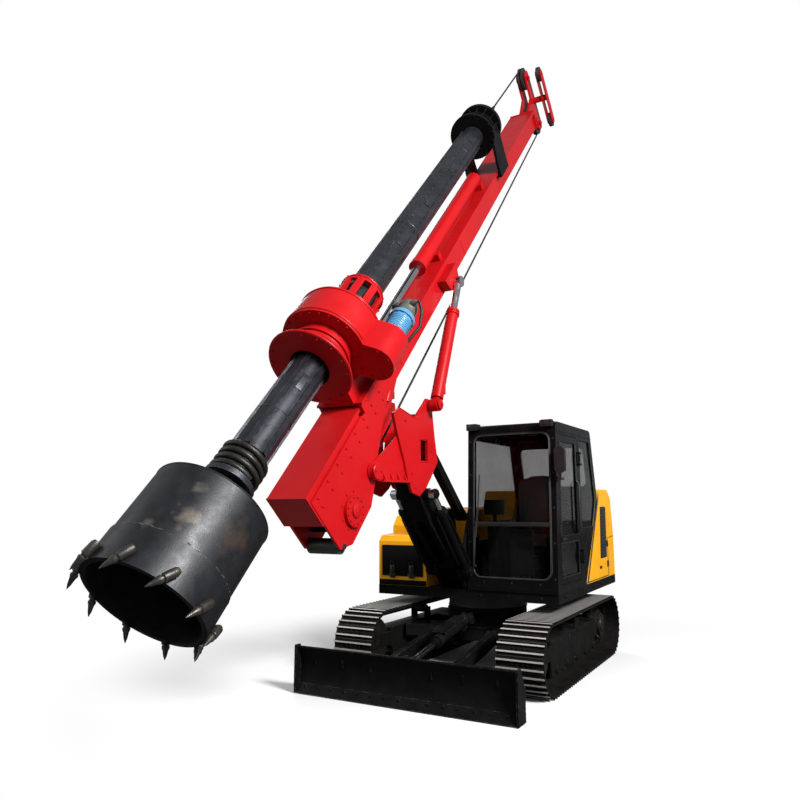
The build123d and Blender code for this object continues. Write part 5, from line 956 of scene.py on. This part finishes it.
# Kelly and its spring: a drawn outer tube with six welded drive ribs, bare dark steel with long streaks, and
# the inner bar inside it. A coil spring of round bar cushions the tool's top plate.
kelly_steel = finish("kelly_steel", (0.04, 0.042, 0.052), 0.38, metal=0.6, vary=0.45, cloud=4.0,
                     worn=(0.24, 0.24, 0.25), edge=0.005, dust=0.05, grain=0.3)
links = kelly_steel.node_tree.links
streak = add(kelly_steel, "Mapping", {"Rotation": (-mast_angle, 0, 0), "Scale": (1.0, 0.06, 1.0)})
for link in list(links):
    if link.to_node.type == "TEX_NOISE" and link.to_node.inputs["Scale"].default_value < 30:
        links.new(link.from_socket, streak.inputs["Vector"])
        links.new(streak.outputs["Vector"], link.to_socket)
dress(kelly_steel, "kelly_outer", "kelly_inner", "kelly_stub")
locks = Shape()
for s in (0.55, 2.75, 3.6, 4.45, 5.3):
    for a in spread(3, math.pi / 6):
        bar = ((0.134, -0.03), (0.134, 0.03), (0.145, 0.026), (0.145, -0.026))
        locks.prism([kelly(r, a, s) + beside(a) * w for r, w in bar], mast_dir * 0.16, 0.003)
for s in (0.3, 3.15, 5.05):
    locks.hoop(kelly(0, 0, s), mast_dir, 0.1365, 0.004, 48)
locks.done("kelly_lock_bars", "outer_kelly", "kelly_steel", kelly_steel)
spring_steel = finish("spring_steel", (0.016, 0.0155, 0.013), 0.42, metal=0.3, vary=0.4, cloud=12.0,
                      worn=(0.16, 0.14, 0.09), dust=0.1, grain=0.3)
coil = Shape()
coil_low, coil_high, coil_wire, coil_turns, coil_steps = -0.338, -0.082, 0.023, 3.5, 28
path = []
for i in range(int(coil_turns * coil_steps) + 1):
    a = 2 * math.pi * i / coil_steps
    s = coil_low + coil_wire + (coil_high - coil_low - 2 * coil_wire) * i / (coil_turns * coil_steps)
    path.append(kelly(0.158, a, s))
coil.tube(path, coil_wire, 12)
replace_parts(coil.done("kelly_spring_coil", "inner_kelly", "grey_iron", spring_steel), "kelly_spring")

# Core barrel and bullet teeth: rolled plate tube with a thick welded crown, burnt dark and dusty where it has
# dried. Each tooth is a turned bit with a hard tip, set leaning in a socket welded round the crown.
barrel = finish("barrel_steel", (0.01, 0.0108, 0.014), 0.44, metal=0.2, vary=0.4, cloud=3.0,
                worn=(0.035, 0.034, 0.033), edge=0.006, dust=0.03, grain=0.22)
mouth, barrel_top, barrel_r = -1.31, -0.57, 0.405
place = add(barrel, "TexCoord").outputs["Object"]
smudge = noise(barrel, 14.0, 9.0)
into_node = bpy.data.objects["core_barrel"].matrix_world.inverted()
for angle, s, size, colour in ((0.864, -0.91, 0.13, (0.125, 0.105, 0.08)),
                               (1.257, -1.05, 0.07, (0.1, 0.095, 0.085)),
                               (0.052, -0.84, 0.2, (0.045, 0.03, 0.022)),
                               (0.95, -0.72, 0.08, (0.1, 0.09, 0.075))):
    away = add(barrel, "VectorMath", place, into_node @ kelly(barrel_r, angle, s), operation="DISTANCE")
    ragged = maths(barrel, "MULTIPLY_ADD", smudge, size * 1.6, away.outputs["Value"])
    over(barrel, "Base Color", span(barrel, ragged, size * 1.45, size * 0.85, 0.0, 0.85), (*colour, 1.0))
# Faces looking down the mast, the crown's mouth among them, lose almost all reflection: painted shade on the
# underside.
facing = dot(barrel, add(barrel, "NewGeometry").outputs["Normal"], -mast_dir)
painted_shade_below = span(barrel, facing, 0.6, 0.9, 0.5, 0.02)
join(barrel, barrel.node_tree.nodes["Principled BSDF"], {"Specular IOR Level": painted_shade_below})
dress(barrel, "core_barrel")
weld = finish("weld_bead", (0.2, 0.19, 0.165), 0.45, metal=0.7, vary=0.5, cloud=30.0, grain=0.4)
seam = Shape()
beads = 44
for i in range(beads):
    share = 0.62 + 0.33 * math.sin(7.3 * i)
    bead = []
    for f in (0, 0.5, 1):
        rise = mouth + 0.253 + 0.004 * math.sin(11 * i + 2 * f)
        bead.append(kelly(barrel_r + 0.004, 2 * math.pi / beads * (i + share * f), rise))
    seam.tube(bead, 0.0042 + 0.0014 * math.sin(5 * i), 6)
seam.done("crown_seam", "inner_kelly", "barrel_steel", weld)
crown = Shape()
crown.hoop(kelly(0, 0, barrel_top - 0.001), mast_dir, barrel_r - 0.003, 0.007, 64)
crown.tube([kelly(barrel_r + 0.001, 2.3, s) for s in (mouth + 0.25, barrel_top - 0.01)], 0.006, 8)
web = ((0.1, barrel_top), (0.37, barrel_top), (0.15, barrel_top + 0.11), (0.1, barrel_top + 0.11))
for a in spread(4, math.pi / 4):
    fin(crown, a, 0.012, web)
crown.done("barrel_welds", "inner_kelly", "barrel_steel", barrel)
sockets, bits = Shape(), Shape()
crown_r, socket_r, lean = barrel_r + 0.008, 0.026, math.radians(30)
holder = ((0, 0.023), (0.006, 0.028), (0.078, 0.028), (0.096, 0.018))
shank = ((0, 0.019), (0.016, 0.019), (0.018, 0.024), (0.03, 0.024), (0.044, 0.018), (0.084, 0.011),
         (0.092, 0.008), (0.11, 0.002))
for a in spread(10):
    axis = mast_dir * math.cos(lean) + beside(a) * math.sin(lean)
    root = kelly(crown_r + socket_r, a, mouth)
    sockets.turned(root + axis * 0.008, axis, holder, 20)
    bits.turned(root + axis * 0.012, -axis, shank, 20)
tooth_steel = finish("tooth_steel", (0.085, 0.08, 0.07), 0.42, metal=0.75, vary=0.4, cloud=14.0,
                     worn=(0.32, 0.3, 0.26), grain=0.35)
sockets.done("tooth_sockets", "inner_kelly", "tool_steel", tooth_steel)
tooth_bits = bits.done("tooth_bits", "inner_kelly", "tool_steel", tooth_steel)
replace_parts(tooth_bits, "bullet_teeth")

# Studio: a pale floor that fades into a white backdrop, a large soft key light from the right front, a fill
# from the left and a rim light behind. The paint mirrors dark ground, as outdoors. The camera stands where
# the photographer stood.
def straight(owner):
    """1 for what the camera sees, through glass too."""
    rays = add(owner, "LightPath").outputs
    return maths(owner, "MAXIMUM", rays["Is Camera Ray"], rays["Is Transmission Ray"])


floor_mat = bpy.data.materials.new("studio_floor")
floor_mat.use_nodes = True
sheet = floor_mat.node_tree.nodes["Principled BSDF"]
join(floor_mat, sheet, {"Base Color": (0.9, 0.9, 0.9, 1.0), "Roughness": 0.9, "Specular IOR Level": 0.1})
place = add(floor_mat, "TexCoord").outputs["Object"]
reach = add(floor_mat, "VectorMath", place, operation="LENGTH").outputs["Value"]
fade_near, fade_far = 2.0, 4.6
fade = span(floor_mat, reach, fade_near, fade_far, interpolation_type="SMOOTHSTEP")
fade = maths(floor_mat, "MULTIPLY", fade, add(floor_mat, "LightPath").outputs["Is Camera Ray"])
shown = add(floor_mat, "MixShader", fade, sheet.outputs[0], add(floor_mat, "Emission").outputs[0])
earth = add(floor_mat, "BsdfDiffuse", {"Color": (0.16, 0.155, 0.15, 1.0)})
ground = add(floor_mat, "MixShader", straight(floor_mat), earth.outputs[0], shown.outputs[0])
join(floor_mat, floor_mat.node_tree.nodes["Material Output"], {"Surface": ground.outputs[0]})
bpy.ops.mesh.primitive_plane_add(size=120)
floor = bpy.context.object
floor.name = "studio_floor"
floor.data.materials.append(floor_mat)
world = bpy.data.worlds.new("studio")
world.use_nodes = True
bpy.context.scene.world = world
ambient = world.node_tree.nodes["Background"]
join(world, ambient, {"Color": (0.92, 0.95, 1.0, 1.0), "Strength": 0.3})
backdrop = add(world, "Background", {"Color": (1.0, 1.0, 1.0, 1.0)})
sky = add(world, "MixShader", straight(world), ambient.outputs[0], backdrop.outputs[0])
join(world, world.node_tree.nodes["World Output"], {"Surface": sky.outputs[0]})
aim = Vector((0, -1.5, 2.6))
for name, place, size, power in (("key", (10.0, -5.6, 8.2), 3.0, 2750), ("fill", (-8.5, -7.5, 6.0), 6.0, 190),
                                 ("rim", (-8.0, 7.5, 8.5), 6.0, 450)):
    lamp = bpy.data.lights.new(name, "AREA")
    lamp.size = size
    lamp.energy = power
    stand = bpy.data.objects.new(name, lamp)
    stand.location = place
    stand.rotation_euler = (aim - Vector(place)).to_track_quat("-Z", "Y").to_euler()
    bpy.context.scene.collection.objects.link(stand)
camera = bpy.data.cameras.new("camera")
camera.sensor_width = 36.0
camera.lens = 31.924
camera.clip_end = 300.0
stand = bpy.data.objects.new("camera", camera)
camera_at = (3.249, -7.5912, 1.7623)
yaw, pitch, roll = 0.521993, 0.144047, -0.00684
turn = Matrix.Rotation(yaw, 4, "Z") @ Matrix.Rotation(math.pi / 2 + pitch, 4, "X")
turn = turn @ Matrix.Rotation(roll, 4, "Z")
stand.matrix_world = Matrix.Translation(camera_at) @ turn
bpy.context.scene.collection.objects.link(stand)
bpy.context.scene.camera = stand
bpy.context.scene.view_settings.view_transform = "Standard"
